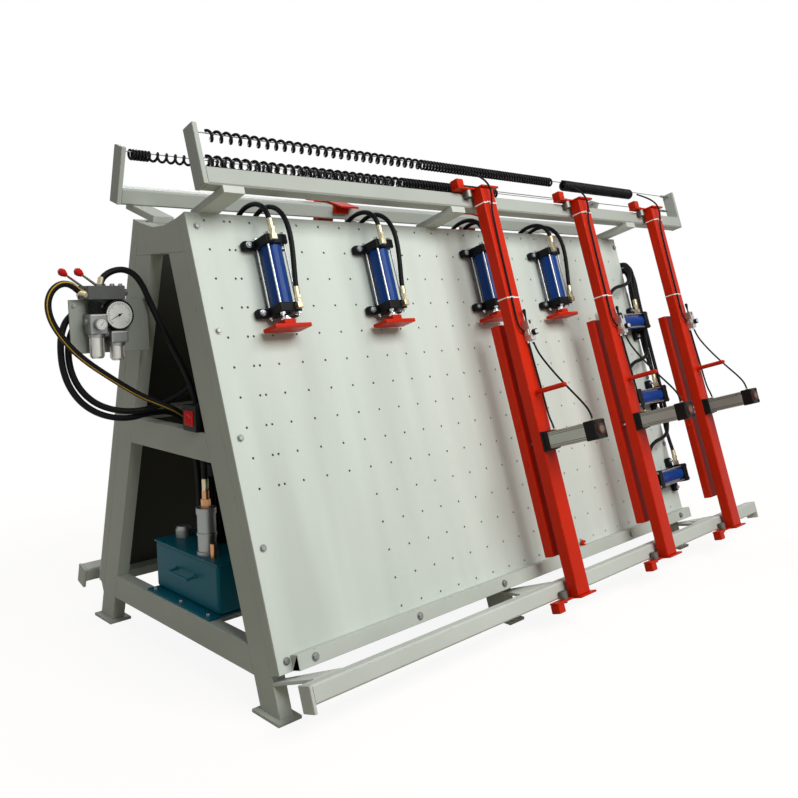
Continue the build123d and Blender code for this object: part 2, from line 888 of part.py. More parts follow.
def air_cylinder(side, x):
    """Flange, square barrel and cap of the clamp's air cylinder, with the hand valve's body."""
    with BuildPart() as cylinder:
        with BuildSketch(out_plane(side, x, -AIR_S, POST_FACE)):
            Rectangle(AIR_FLANGE, AIR_FLANGE)
        extrude(amount=AIR_FLANGE_T)
        with BuildSketch(out_plane(side, x, -AIR_S, POST_FACE + AIR_FLANGE_T)) as profile:
            Rectangle(AIR_SIZE, AIR_SIZE)
            chamfer(profile.vertices(), AIR_CORNER)
        extrude(amount=AIR_LENGTH + AIR_CAP_T)
        with BuildSketch(out_plane(side, x, -AIR_S, POST_FACE)):
            round_face(AIR_ROD_D + 2 * ROD_GAP)
        extrude(amount=AIR_FLANGE_T + AIR_LENGTH, mode=Mode.SUBTRACT)
        with BuildSketch(out_plane(side, x, -AIR_S, POST_FACE + AIR_FLANGE_T + AIR_LENGTH + AIR_CAP_T)):
            round_face(AIR_BOSS_D)
        extrude(amount=AIR_BOSS_H)
    with BuildPart() as valve:
        with BuildSketch(up_plane(side, x + VALVE_X, -VALVE_S - VALVE_H / 2, POST_FACE + VALVE_D / 2)):
            Rectangle(VALVE_W, VALVE_D)
        extrude(amount=VALVE_H)
        slot_s = -VALVE_S + VALVE_H / 2 - VALVE_SLOT_DEPTH
        with BuildSketch(up_plane(side, x + VALVE_X, slot_s, POST_FACE + VALVE_D / 2)):
            Rectangle(VALVE_SLOT, VALVE_D)
        extrude(amount=VALVE_SLOT_DEPTH, mode=Mode.SUBTRACT)
    return cylinder.part, valve.part


def hand_lever(side, x):
    """Lever of the hand valve, with its hub between the cheeks of the body."""
    hub_s = -VALVE_S + VALVE_H / 2 - VALVE_SLOT_DEPTH + LEVER_GAP + LEVER_HUB_D / 2
    hub_n = POST_FACE + VALVE_D / 2
    start = x + VALVE_X - LEVER_T / 2
    with BuildPart() as lever:
        with BuildSketch(long_plane(side, start, hub_s, hub_n)):
            Circle(LEVER_HUB_D / 2)
            with Locations((0, side * LEVER_LENGTH / 2)):
                Rectangle(LEVER_T, LEVER_LENGTH)
        extrude(amount=LEVER_T)
    return lever.part


def clamp_bar(side, x):
    """Bar that the air cylinder presses on the work, with the piston rod that carries it."""
    bar_n = BAR_FACE - BAR_D / 2
    with BuildPart() as bar:
        with BuildSketch(up_plane(side, x, -BAR_TOP - BAR_LENGTH, bar_n)):
            Rectangle(POST_W, BAR_D)
        extrude(amount=BAR_LENGTH)
        with BuildSketch(up_plane(side, x, -BAR_TOP - BAR_LENGTH, bar_n)):
            Rectangle(POST_W - 2 * BAR_WALL, BAR_D - 2 * BAR_WALL)
        extrude(amount=BAR_LENGTH - BAR_WALL, mode=Mode.SUBTRACT)
    reach = POST_FACE + AIR_FLANGE_T + CLAMP_STROKE + AIR_ROD_D - BAR_FACE
    piston = rod(out_plane(side, x, -AIR_S, BAR_FACE), AIR_ROD_D, reach)
    return bar.part, piston


for i, place in enumerate(POST_PLACES):
    x = LEFT + place
    finish(f"front_post_{i + 1}", *post(FRONT, x))
    finish(f"front_air_cylinder_{i + 1}", *air_cylinder(FRONT, x))
    finish(f"front_hand_lever_{i + 1}", hand_lever(FRONT, x))
    finish(f"front_clamp_bar_{i + 1}", *clamp_bar(FRONT, x))
for i, place in enumerate(REAR_POST_PLACES):
    x = LEFT + place
    finish(f"rear_post_{i + 1}", *post(REAR, x), *air_cylinder(REAR, x))
    finish(f"rear_hand_lever_{i + 1}", hand_lever(REAR, x))
    finish(f"rear_clamp_bar_{i + 1}", *clamp_bar(REAR, x))


# Control plate on the left end, with the two-spool valve, gauge and air service unit
with BuildPart() as control_plate:
    with BuildSketch(Plane.XY.offset(CONTROL_LOW)):
        with Locations((LEFT - CONTROL_REACH / 2, CONTROL_Y + CONTROL_T / 2)):
            Rectangle(CONTROL_REACH, CONTROL_T)
        with Locations((LEFT - CONTROL_T / 2, CONTROL_Y + CONTROL_FLANGE / 2)):
            Rectangle(CONTROL_T, CONTROL_FLANGE)
    extrude(amount=CONTROL_TOP - CONTROL_LOW)
finish("control_plate", control_plate.part)

SPOOL_RIGHT = LEFT - SPOOL_INSET
SPOOL_LEFT = SPOOL_RIGHT - SPOOL_LENGTH
SPOOL_MID_Y = CONTROL_Y + CONTROL_T / 2
SPOOL_HUBS = (
    (SPOOL_LEFT + SPOOL_HUB_D + SPOOL_STAGGER, SPOOL_MID_Y - SPOOL_W / 2),
    (SPOOL_LEFT + SPOOL_HUB_D, SPOOL_MID_Y + SPOOL_W / 2),
)
SLOT_W = SPOOL_LEVER_D + 2 * SPOOL_HUB_GAP
with BuildPart() as directional_valve:
    with BuildSketch(Plane.XY.offset(CONTROL_TOP)):
        with Locations(((SPOOL_LEFT + SPOOL_RIGHT) / 2, SPOOL_MID_Y)):
            Rectangle(SPOOL_LENGTH, 2 * SPOOL_W)
    extrude(amount=SPOOL_H)
    with BuildSketch(Plane.XY.offset(CONTROL_TOP + SPOOL_H - SPOOL_HUB_D - SPOOL_HUB_GAP)):
        for hub_x, hub_y in SPOOL_HUBS:
            with Locations(((SPOOL_LEFT + hub_x + SPOOL_HUB_D) / 2, hub_y)):
                Rectangle(hub_x + SPOOL_HUB_D - SPOOL_LEFT, SLOT_W)
    extrude(amount=SPOOL_HUB_D + SPOOL_HUB_GAP, mode=Mode.SUBTRACT)
finish("directional_valve", directional_valve.part)


def spool_lever(x, y):
    """Lever of one spool: hub in its slot, leaning rod and turned knob."""
    hub = Vector(x, y, CONTROL_TOP + SPOOL_H - SPOOL_HUB_D / 2)
    tilt = math.radians(SPOOL_LEVER_TILT)
    lean = Vector(-math.sin(tilt), 0, math.cos(tilt))
    across = Vector(math.cos(tilt), 0, math.sin(tilt))
    with BuildPart() as lever:
        with BuildSketch(Plane(hub - Vector(0, SPOOL_LEVER_D / 2, 0), x_dir=(1, 0, 0), z_dir=(0, 1, 0))):
            Circle(SPOOL_HUB_D / 2)
        extrude(amount=SPOOL_LEVER_D)
        with BuildSketch(Plane(hub, x_dir=across, z_dir=lean)):
            Rectangle(SPOOL_LEVER_D, SPOOL_LEVER_D)
        extrude(amount=SPOOL_LEVER_LENGTH)
    with BuildPart() as knob:
        with BuildSketch(Plane(hub + lean * SPOOL_LEVER_LENGTH, x_dir=across, z_dir=lean)):
            round_face(KNOB_D)
        extrude(amount=KNOB_D)
        ends = knob.faces().sort_by(Axis(hub, lean))
        chamfer(ends[0].edges() + ends[-1].edges(), KNOB_D / 5)
    return lever.part, knob.part


for i, place in enumerate(SPOOL_HUBS):
    finish(f"valve_lever_{i + 1}", *spool_lever(*place))

with BuildPart() as pressure_gauge:
    with BuildSketch(Plane((LEFT - GAUGE_INSET, CONTROL_Y, GAUGE_Z), x_dir=(1, 0, 0), z_dir=(0, -1, 0))):
        round_face(GAUGE_D, GAUGE_SIDES)
    extrude(amount=GAUGE_T)
finish("pressure_gauge", pressure_gauge.part)


def service_body(x, top, height, bowl_h):
    """Square body of a filter or an oiler with its bowl below."""
    y = CONTROL_Y - SERVICE_BLOCK / 2
    with BuildPart() as body:
        with BuildSketch(Plane.XY.offset(top - height)):
            with Locations((x, y)):
                Rectangle(SERVICE_BLOCK, SERVICE_BLOCK)
        extrude(amount=height)
        with BuildSketch(Plane.XY.offset(top - height - bowl_h)):
            with Locations((x, y)):
                round_face(BOWL_D, BARREL_SIDES)
        extrude(amount=bowl_h)
    return body.part


FILTER_X = LEFT - FILTER_INSET
OILER_X = LEFT - OILER_INSET
SERVICE_Y = CONTROL_Y - SERVICE_BLOCK / 2
with BuildPart() as service_link:
    with BuildSketch(Plane.YZ.offset(FILTER_X + SERVICE_BLOCK / 2)):
        with Locations((SERVICE_Y, OILER_TOP - OILER_H / 4)):
            Rectangle(SERVICE_BLOCK / 2, OILER_H / 3)
    extrude(amount=OILER_X - FILTER_X - SERVICE_BLOCK)
small_gauge = rod(
    Plane(
        (FILTER_X, CONTROL_Y - SERVICE_BLOCK, FILTER_TOP - FILTER_H / 2),
        x_dir=(1, 0, 0),
        z_dir=(0, -1, 0),
    ),
    SMALL_GAUGE_D,
    SMALL_GAUGE_T,
)
finish(
    "air_service_unit",
    service_body(FILTER_X, FILTER_TOP, FILTER_H, FILTER_BOWL_H),
    service_body(OILER_X, OILER_TOP, OILER_H, OILER_BOWL_H),
    service_link.part,
    small_gauge,
)
with BuildPart() as regulator_knob:
    with BuildSketch(Plane((FILTER_X, SERVICE_Y, FILTER_TOP + ROLLER_GAP))):
        Circle(REGULATOR_D / 2)
    extrude(amount=REGULATOR_H)
finish("regulator_knob", regulator_knob.part)

# Mains switch box on the middle crossbar
SWITCH_LEFT = LEFT - SWITCH_OUT
SWITCH_Y = at_height(FRONT, LEG_BACK, MID_BAR_TOP + SWITCH_H)[0] + SWITCH_SIDE + SWITCH_W / 2
SWITCH_Z = MID_BAR_TOP + SWITCH_H / 2
with BuildPart() as switch_box:
    with BuildSketch(Plane.YZ.offset(SWITCH_LEFT)):
        with Locations((SWITCH_Y, SWITCH_Z)):
            Rectangle(SWITCH_W, SWITCH_H)
    extrude(amount=SWITCH_D)
    with BuildSketch(Plane.YZ.offset(SWITCH_LEFT)):
        with Locations((SWITCH_Y, SWITCH_Z)):
            Rectangle(ROCKER_W + 2 * ROCKER_GAP, ROCKER_H + 2 * ROCKER_GAP)
    extrude(amount=ROCKER_T, mode=Mode.SUBTRACT)
finish("switch_box", switch_box.part)
ROCKER_BACK = SWITCH_LEFT + ROCKER_T / 2 - ROCKER_GAP
ROCKER_BELLY = SWITCH_LEFT + ROCKER_T - ROCKER_GAP
ROCKER_RISE = math.sqrt(ROCKER_ROUND**2 - (ROCKER_BACK - ROCKER_BELLY + ROCKER_ROUND) ** 2)
with BuildPart() as switch_rocker:
    with BuildSketch(Plane.XZ.offset(-SWITCH_Y - ROCKER_W / 2)):
        with BuildLine():
            Polyline(
                (ROCKER_BACK, SWITCH_Z - ROCKER_RISE),
                (ROCKER_BACK, SWITCH_Z - ROCKER_H / 2),
                (SWITCH_LEFT - ROCKER_T / 2, SWITCH_Z - ROCKER_H / 2),
                (SWITCH_LEFT, SWITCH_Z),
                (SWITCH_LEFT - ROCKER_T / 2, SWITCH_Z + ROCKER_H / 2),
                (ROCKER_BACK, SWITCH_Z + ROCKER_H / 2),
                (ROCKER_BACK, SWITCH_Z + ROCKER_RISE),
            )
            ThreePointArc(
                (ROCKER_BACK, SWITCH_Z + ROCKER_RISE),
                (ROCKER_BELLY, SWITCH_Z),
                (ROCKER_BACK, SWITCH_Z - ROCKER_RISE),
            )
        make_face()
    extrude(amount=ROCKER_W)
finish("switch_rocker", switch_rocker.part)

# Hydraulic power unit: tank with bail, filler cap and return column, and the pump motor
TANK_MID_X = TANK_LEFT + TANK_LENGTH / 2
with BuildPart() as tank:
    with BuildSketch(Plane.XY.offset(LOW_BAR_TOP)):
        with Locations((TANK_MID_X - TANK_FLANGE / 2, TANK_Y)):
            Rectangle(TANK_LENGTH + TANK_FLANGE, TANK_W)
    extrude(amount=TANK_FLANGE_T)
    with BuildSketch(Plane.XY.offset(LOW_BAR_TOP + TANK_FLANGE_T)):
        with Locations((TANK_MID_X, TANK_Y)):
            RectangleRounded(TANK_LENGTH, TANK_W, TANK_CORNER)
    extrude(amount=TANK_H)
    with BuildSketch(Plane.XY.offset(LOW_BAR_TOP + TANK_FLANGE_T)):
        with Locations((TANK_MID_X, TANK_Y)):
            Rectangle(TANK_LENGTH - 2 * TANK_CORNER, TANK_W - 2 * TANK_CORNER)
    extrude(amount=TANK_H - TANK_WALL, mode=Mode.SUBTRACT)
with BuildPart() as bail:
    with BuildSketch(Plane.XY.offset(BAIL_Z - BAIL_D / 2)):
        with Locations((TANK_LEFT - BAIL_OUT / 2, TANK_Y)):
            Rectangle(BAIL_OUT, BAIL_W)
        with Locations((TANK_LEFT - BAIL_OUT / 2 + BAIL_D / 2, TANK_Y)):
            Rectangle(BAIL_OUT - BAIL_D, BAIL_W - 2 * BAIL_D, mode=Mode.SUBTRACT)
    extrude(amount=BAIL_D)
with BuildPart() as column:
    with BuildSketch(Plane.XY.offset(TANK_TOP)):
        with Locations((TANK_LEFT + COLUMN_INSET, COLUMN_Y)):
            round_face(COLUMN_D, BARREL_SIDES)
    extrude(amount=COLUMN_H)
    with BuildSketch(Plane.XY.offset(TANK_TOP + COLUMN_H)):
        with Locations((TANK_LEFT + COLUMN_INSET, COLUMN_Y)):
            RegularPolygon(COLUMN_NECK_D / 2, 6)
    extrude(amount=COLUMN_NECK_H)
filler = rod(Plane((TANK_LEFT + CAP_INSET, CAP_Y, TANK_TOP)), CAP_D, CAP_H)
finish("oil_tank", tank.part, bail.part, column.part, filler)

MOTOR_X = TANK_LEFT + MOTOR_INSET
with BuildPart() as pump_motor:
    with BuildSketch(Plane.XY.offset(TANK_TOP)):
        with Locations((MOTOR_X, MOTOR_Y)):
            round_face(MOTOR_FLANGE_D, GAUGE_SIDES)
    extrude(amount=MOTOR_FLANGE_T)
    with BuildSketch(Plane.XY.offset(TANK_TOP + MOTOR_FLANGE_T)):
        with Locations((MOTOR_X, MOTOR_Y)):
            RegularPolygon(MOTOR_D / 2 - MOTOR_RIB, MOTOR_RIBS)
            with PolarLocations(MOTOR_D / 2 - MOTOR_RIB, MOTOR_RIBS):
                Rectangle(2 * MOTOR_RIB, MOTOR_RIB / 2)
    extrude(amount=MOTOR_H)
    with BuildSketch(Plane.XY.offset(TANK_TOP + MOTOR_FLANGE_T + MOTOR_H)):
        with Locations((MOTOR_X, MOTOR_Y)):
            round_face(MOTOR_D, GAUGE_SIDES)
    extrude(amount=MOTOR_HOOD_H)
finish("pump_motor", pump_motor.part)

# Distributor block on the right end frame
block_n = (LEG_FRONT + LEG_BACK) / 2
distributor = bar_along(FRONT, RIGHT, RIGHT + BLOCK_LENGTH, -BLOCK_S, block_n, BLOCK_SLANT, BLOCK_W)
finish("distributor_block", distributor)


# Wire ropes above the rails, with a tensioner at the right-hand end
def wire_rope(side, rise, back):
    s = TOP_RAIL_S + RAIL / 2 + rise
    n = RAIL_N - back
    start = RAIL_LEFT + UPRIGHT_T
    end = RAIL_RIGHT - UPRIGHT_T
    with BuildPart() as rope:
        with BuildSketch(long_plane(side, start, s, n)):
            RegularPolygon(ROPE_D / 2, ROPE_SIDES)
        extrude(amount=end - TENSIONER_LENGTH - start)
    with BuildPart() as tensioner:
        with BuildSketch(long_plane(side, end - TENSIONER_LENGTH, s, n)):
            RegularPolygon(TENSIONER_D / 2, ROPE_SIDES)
        extrude(amount=TENSIONER_LENGTH)
    return rope.part, tensioner.part


finish(
    "hose_ropes",
    *wire_rope(FRONT, UPPER_ROPE_RISE, 0),
    *wire_rope(FRONT, LOWER_ROPE_RISE, LOWER_ROPE_BACK),
    *wire_rope(REAR, UPPER_ROPE_RISE, 0),
)


# Spiral hoses: each is one tube wound round its rope in half-turn arcs
def curl_axis(rise, back, radius, gap):
    """Axis of the curls as s and n, so that they hang from the rope inside them."""
    drop = radius - CURL_HOSE / 2 - ROPE_D / 2 - gap
    return TOP_RAIL_S + RAIL / 2 + rise - drop, RAIL_N - back


def spiral(side, rise, back, curls):
    """Stretched curls from the left-hand upright, with straight ends; returns where they end."""
    axis_s, axis_n = curl_axis(rise, back, CURL_RADIUS, CURL_GAP)
    low = axis_s - CURL_RADIUS
    high = axis_s + CURL_RADIUS
    upright = RAIL_LEFT + UPRIGHT_T
    first = upright + CURL_START
    turns = [
        spot(side, first + i * CURL_PITCH / 2, high if i % 2 else low, axis_n)
        for i in range(2 * curls + 1)
    ]
    last = first + curls * CURL_PITCH
    outward = Vector(0, side * LEAN_COS, LEAN_SIN)
    entry = spot(side, first - CURL_RADIUS, low, axis_n - CURL_RADIUS)
    leave = spot(side, last + CURL_RADIUS, low, axis_n + CURL_RADIUS)
    with BuildPart() as tube:
        with BuildLine() as route:
            Line(spot(side, upright, low, axis_n - CURL_RADIUS), entry)
            TangentArc(entry, turns[0], tangent=(1, 0, 0))
            for i, (here, after) in enumerate(zip(turns, turns[1:])):
                TangentArc(here, after, tangent=outward * (-1 if i % 2 else 1))
            TangentArc(turns[-1], leave, tangent=outward)
            Line(leave, leave + Vector(CURL_HOSE, 0, 0))
        with BuildSketch(Plane(spot(side, upright, low, axis_n - CURL_RADIUS), z_dir=(1, 0, 0))):
            Rectangle(CURL_HOSE, CURL_HOSE)
        sweep(path=route.wire(), clean=False)
    marks = [route.wire() @ (i / (40 * curls)) for i in range(40 * curls + 1)]
    nearest = min(
        (a - b).length
        for i, a in enumerate(marks)
        for b in marks[i + 24 : i + 120]
    )
    print(f"spiral hose: least gap to itself {nearest - CURL_HOSE:.1f} mm")
    return tube.part, last + CURL_RADIUS + CURL_HOSE


def snug_coil(side, x0, length, rise, back, radius):
    """Stretch where the curls lie close together round the rope."""
    with BuildPart() as coil:
        with BuildSketch(long_plane(side, x0, *curl_axis(rise, back, radius, SNUG_GAP))):
            round_face(2 * radius + CURL_HOSE, BARREL_SIDES)
            round_face(2 * radius - CURL_HOSE, mode=Mode.SUBTRACT)
        extrude(amount=length)
    return coil.part


upper_tube, upper_end = spiral(FRONT, UPPER_ROPE_RISE, 0, CURLS)
snug_start = RAIL_LEFT + UPRIGHT_T + CURL_START
finish(
    "spiral_hoses",
    upper_tube,
    snug_coil(FRONT, upper_end, UPPER_SNUG, UPPER_ROPE_RISE, 0, CURL_RADIUS),
    snug_coil(FRONT, LEFT + SLEEVE_PLACE, SLEEVE_LENGTH, UPPER_ROPE_RISE, 0, SLEEVE_RADIUS),
    snug_coil(FRONT, snug_start, LOWER_SNUG, LOWER_ROPE_RISE, LOWER_ROPE_BACK, CURL_RADIUS),
    snug_coil(REAR, snug_start, REAR_SNUG, UPPER_ROPE_RISE, 0, CURL_RADIUS),
)


# Free hoses: straight runs joined by arcs as large as the runs leave room for
def hose(name, points, diameter):
    radii = []
    for before, here, after in zip(points, points[1:], points[2:]):
        turn = math.radians((here - before).get_angle(after - here))
        run = min((here - before).length, (after - here).length)
        radii.append(0.45 * run / math.tan(turn / 2))
    with BuildPart() as tube:
        with BuildLine() as route:
            FilletPolyline(*points, radius=radii)
        with BuildSketch(Plane(points[0], z_dir=points[1] - points[0])) as section:
            RegularPolygon(diameter / 2, HOSE_SIDES, rotation=180 / HOSE_SIDES)
        sweep(path=route.wire())
    length = route.wire().length
    share = tube.part.volume / (section.sketch.area * length)
    bends = " ".join(f"{radius:.0f}" for radius in radii)
    print(f"{name}: length {length:.0f}, radii {bends}, volume share {share:.4f}")
    return tube.part


def on_front(points, x0):
    """Points given along, up and out of the front board, from a place along it."""
    return [spot(FRONT, x0 + x, s, n) for x, s, n in points]


# Header pipe behind the top of the front board, butted to the legs
header_runs = (
    (LEFT + LEG_W, CENTRE_X - LEG_W / 2),
    (CENTRE_X + LEG_W / 2, RIGHT - LEG_W),
)
for x0, x1 in header_runs:
    ports.append(bar_along(FRONT, x0, x1, -HEADER_S, HEADER_N, HEADER, HEADER))

# Hoses of the top cylinders, over the edge of the board to the header
PORT_N = CYL_N + HEAD / 2 + PORT_D / 2
CAP_EXIT = -TOP_CAP_S - HEAD_T / 2 + PORT_D / 2 + PORT_H
ROD_EXIT = CAP_EXIT - HEAD_T - BARREL_LENGTH
HEADER_TOP = -HEADER_S + HEADER / 2
CAP_ROUTE = [
    (CAP_PORT, CAP_EXIT, PORT_N),
    (-23, -52, 112),
    (-25, -16, 102),
    (-27, 12, 76),
    (-28, 28, 34),
    (-28, 30, -18),
    (-27, 14, -66),
    (-25, -26, -94),
    (-24, -64, -102),
    (-24, HEADER_TOP, HEADER_N),
]
ROD_ROUTE = [
    (ROD_PORT, ROD_EXIT, PORT_N),
    (26, -285, 112),
    (31, -215, 121),
    (37, -140, 127),
    (41, -80, 122),
    (42, -32, 105),
    (42, 4, 74),
    (42, 26, 32),
    (42, 30, -18),
    (41, 14, -66),
    (40, -26, -94),
    (39, -64, -102),
    (38, HEADER_TOP, HEADER_N),
]
hoses = []
for i, place in enumerate(TOP_CYLINDERS):
    hoses.append(hose(f"top hose {i + 1} cap", on_front(CAP_ROUTE, LEFT + place), HOSE_D))
    hoses.append(hose(f"top hose {i + 1} rod", on_front(ROD_ROUTE, LEFT + place), HOSE_D))

# Hoses of the side cylinders, up the right-hand edge and over into the distributor block
SIDE_EXIT = HEAD / 2 + PORT_D + PORT_H
CAP_X = -SIDE_CAP_INSET - HEAD_T / 2
ROD_X = CAP_X - HEAD_T - BARREL_LENGTH
NIPPLE_S = -BLOCK_S + BLOCK_SLANT / 2 + PORT_H
SIDE_ROUTES = (
    [
        (CAP_X, SIDE_EXIT - 470, CYL_N),
        (-45, -342, 57),
        (-42, -290, 56),
        (-34, -242, 54),
        (-16, -200, 46),
        (4, -173, 23),
        (15, -165, -16),
        (15, -184, -52),
        (13, -222, -73),
        (BUNDLE_X[0], NIPPLE_S, BUNDLE_N[0]),
    ],
    [
        (ROD_X, SIDE_EXIT - 470, CYL_N),
        (-282, -345, 58),
        (-258, -308, 62),
        (-208, -286, 66),
        (-150, -280, 68),
        (-95, -268, 68),
        (-52, -236, 66),
        (-22, -188, 58),
        (2, -150, 36),
        (18, -134, -10),
        (20, -142, -62),
        (16, -180, -104),
        (13, -224, -117),
        (BUNDLE_X[0], NIPPLE_S, BUNDLE_N[1]),
    ],
    [
        (CAP_X, SIDE_EXIT - 860, CYL_N),
        (-44, -735, 54),
        (-34, -685, 42),
        (-22, -620, 28),
        (-13, -540, 24),
        (-12, -450, 26),
        (-12, -360, 24),
        (-11, -290, 27),
        (5, -225, 25),
        (28, -183, 5),
        (42, -169, -33),
        (46, -187, -66),
        (45, -226, -77),
        (BUNDLE_X[1], NIPPLE_S, BUNDLE_N[0]),
    ],
    [
        (ROD_X, SIDE_EXIT - 860, CYL_N),
        (-282, -735, 58),
        (-258, -698, 62),
        (-208, -676, 66),
        (-140, -668, 68),
        (-80, -652, 64),
        (-38, -610, 54),
        (-15, -545, 46),
        (-12, -460, 46),
        (-12, -370, 46),
        (-11, -290, 51),
        (-2, -222, 58),
        (18, -166, 40),
        (38, -136, -10),
        (45, -144, -66),
        (45, -184, -108),
        (45, -226, -117),
        (BUNDLE_X[1], NIPPLE_S, BUNDLE_N[1]),
    ],
    [
        (CAP_X, SIDE_EXIT - 1270, CYL_N),
        (-44, -1145, 54),
        (-32, -1095, 42),
        (-12, -1030, 28),
        (4, -950, 24),
        (9, -850, 26),
        (8, -740, 24),
        (9, -630, 26),
        (8, -520, 24),
        (9, -420, 26),
        (10, -330, 25),
        (18, -240, 25),
        (46, -183, 4),
        (66, -166, -35),
        (76, -187, -66),
        (77, -226, -77),
        (BUNDLE_X[2], NIPPLE_S, BUNDLE_N[0]),
    ],
    [
        (ROD_X, SIDE_EXIT - 1270, CYL_N),
        (-282, -1145, 58),
        (-258, -1108, 62),
        (-208, -1086, 66),
        (-140, -1078, 68),
        (-76, -1062, 64),
        (-30, -1020, 54),
        (2, -955, 46),
        (9, -860, 46),
        (8, -750, 47),
        (9, -640, 46),
        (8, -530, 47),
        (10, -430, 46),
        (11, -330, 48),
        (19, -240, 49),
        (38, -168, 26),
        (60, -134, -24),
        (74, -146, -74),
        (77, -184, -108),
        (77, -226, -117),
        (BUNDLE_X[2], NIPPLE_S, BUNDLE_N[1]),
    ],
)
for i, route in enumerate(SIDE_ROUTES):
    hoses.append(hose(f"side hose {i + 1}", on_front(route, RIGHT), HOSE_D))
for x in BUNDLE_X:
    for n in BUNDLE_N:
        nipple = up_plane(FRONT, RIGHT + x, NIPPLE_S - PORT_H, n)
        ports.append(bolt_head(nipple, HOSE_D, PORT_H))

# Hoses and cable of the left end, given along from the left face, across and up
NECK_TOP = TANK_TOP + COLUMN_H + COLUMN_NECK_H
HEADER_LOW = spot(FRONT, 0, -HEADER_S - HEADER / 2, HEADER_N)
SPOOL_FACE = SPOOL_LEFT - LEFT
LID_PORTS = ((RETURN_INSET, RETURN_Y), (SUCTION_INSET, SUCTION_Y))
LEFT_ROUTES = (
    (
        VALVE_HOSE_D,
        [
            (SPOOL_FACE, SPOOL_MID_Y - 29, CONTROL_TOP + 18),
            (-250, 74, 1329),
            (-278, 72, 1354),
            (-310, 70, 1359),
            (-339, 70, 1342),
            (-356, 72, 1311),
            (-358, 75, 1274),
            (-346, 78, 1232),
            (-318, 80, 1186),
            (-278, 81, 1136),
            (-226, 82, 1090),
            (-166, 82, 1046),
            (-108, 76, 1004),
            (-52, 62, 966),
            (4, 40, 938),
            (56, 10, 908),
            (100, -6, 862),
            (124, -10, 796),
            (136, -11, 716),
            (139, -11, 560),
            (RETURN_INSET, RETURN_Y, TANK_TOP + PORT_H),
        ],
    ),
    (
        VALVE_HOSE_D,
        [
            (-168, SPOOL_MID_Y, CONTROL_TOP + SPOOL_H),
            (-163, SPOOL_MID_Y, 1370),
            (-146, SPOOL_MID_Y, 1389),
            (-118, 102, 1403),
            (-82, 100, 1407),
            (-48, 96, 1392),
            (-22, 90, 1356),
            (0, 80, 1292),
            (18, 58, 1228),
            (40, 36, 1164),
            (62, 14, 1098),
            (80, -12, 1036),
            (92, -38, 960),
            (98, -58, 870),
            (98, -72, 780),
            (96, -77, 700),
            (TANK_LEFT - LEFT + COLUMN_INSET, COLUMN_Y, NECK_TOP),
        ],
    ),
    (
        VALVE_HOSE_D,
        [
            (-215, SPOOL_MID_Y + 24, CONTROL_TOP),
            (-219, 127, 1288),
            (-233, 128, 1272),
            (-256, 130, 1258),
            (-281, 131, 1234),
            (-298, 131, 1192),
            (-304, 129, 1140),
            (-302, 127, 1080),
            (-286, 124, 1018),
            (-252, 120, 962),
            (-204, 115, 922),
            (-146, 110, 898),
            (-84, 106, 890),
            (-27, 110, 898),
            (21, 108, 902),
            (70, 96, 898),
            (108, 76, 874),
            (126, 58, 820),
            (134, 46, 740),
            (138, 40, 640),
            (138, 38, 520),
            (SUCTION_INSET, SUCTION_Y, TANK_TOP + PORT_H),
        ],
    ),
    (
        VALVE_HOSE_D,
        [
            (-190, SPOOL_MID_Y + 24, CONTROL_TOP),
            (-191, 127, 1286),
            (-202, 128, 1266),
            (-224, 129, 1247),
            (-248, 131, 1222),
            (-269, 131, 1186),
            (-279, 129, 1140),
            (-278, 127, 1084),
            (-263, 124, 1030),
            (-233, 120, 982),
            (-191, 114, 946),
            (-138, 106, 924),
            (-80, 98, 914),
            (-20, 88, 918),
            (36, 70, 936),
            (84, 36, 968),
            (122, -12, 1018),
            (140, -70, 1090),
            (148, -112, 1180),
            (151, -132, 1290),
            (151, HEADER_LOW.Y - 8, HEADER_LOW.Z - 36),
            (151, HEADER_LOW.Y, HEADER_LOW.Z),
        ],
    ),
    (
        CABLE_D,
        [
            (20, SWITCH_Y + SWITCH_W / 2, SWITCH_Z - 20),
            (22, -112, 889),
            (44, -96, 884),
            (84, -92, 862),
            (130, -86, 826),
            (172, -64, 792),
            (206, -30, 766),
            (226, 8, 744),
            (230, 30, 722),
            (230, 36, TANK_TOP + MOTOR_FLANGE_T + MOTOR_H + MOTOR_HOOD_H),
        ],
    ),
)
for i, (diameter, route) in enumerate(LEFT_ROUTES):
    points = [Vector(LEFT + x, y, z) for x, y, z in route]
    hoses.append(hose(f"left hose {i + 1}", points, diameter))
for x, y in LID_PORTS:
    ports.append(bolt_head(Plane((LEFT + x, y, TANK_TOP)), VALVE_HOSE_D, PORT_H))
finish("hydraulic_hoses", *hoses)
finish("hose_fittings", *ports)

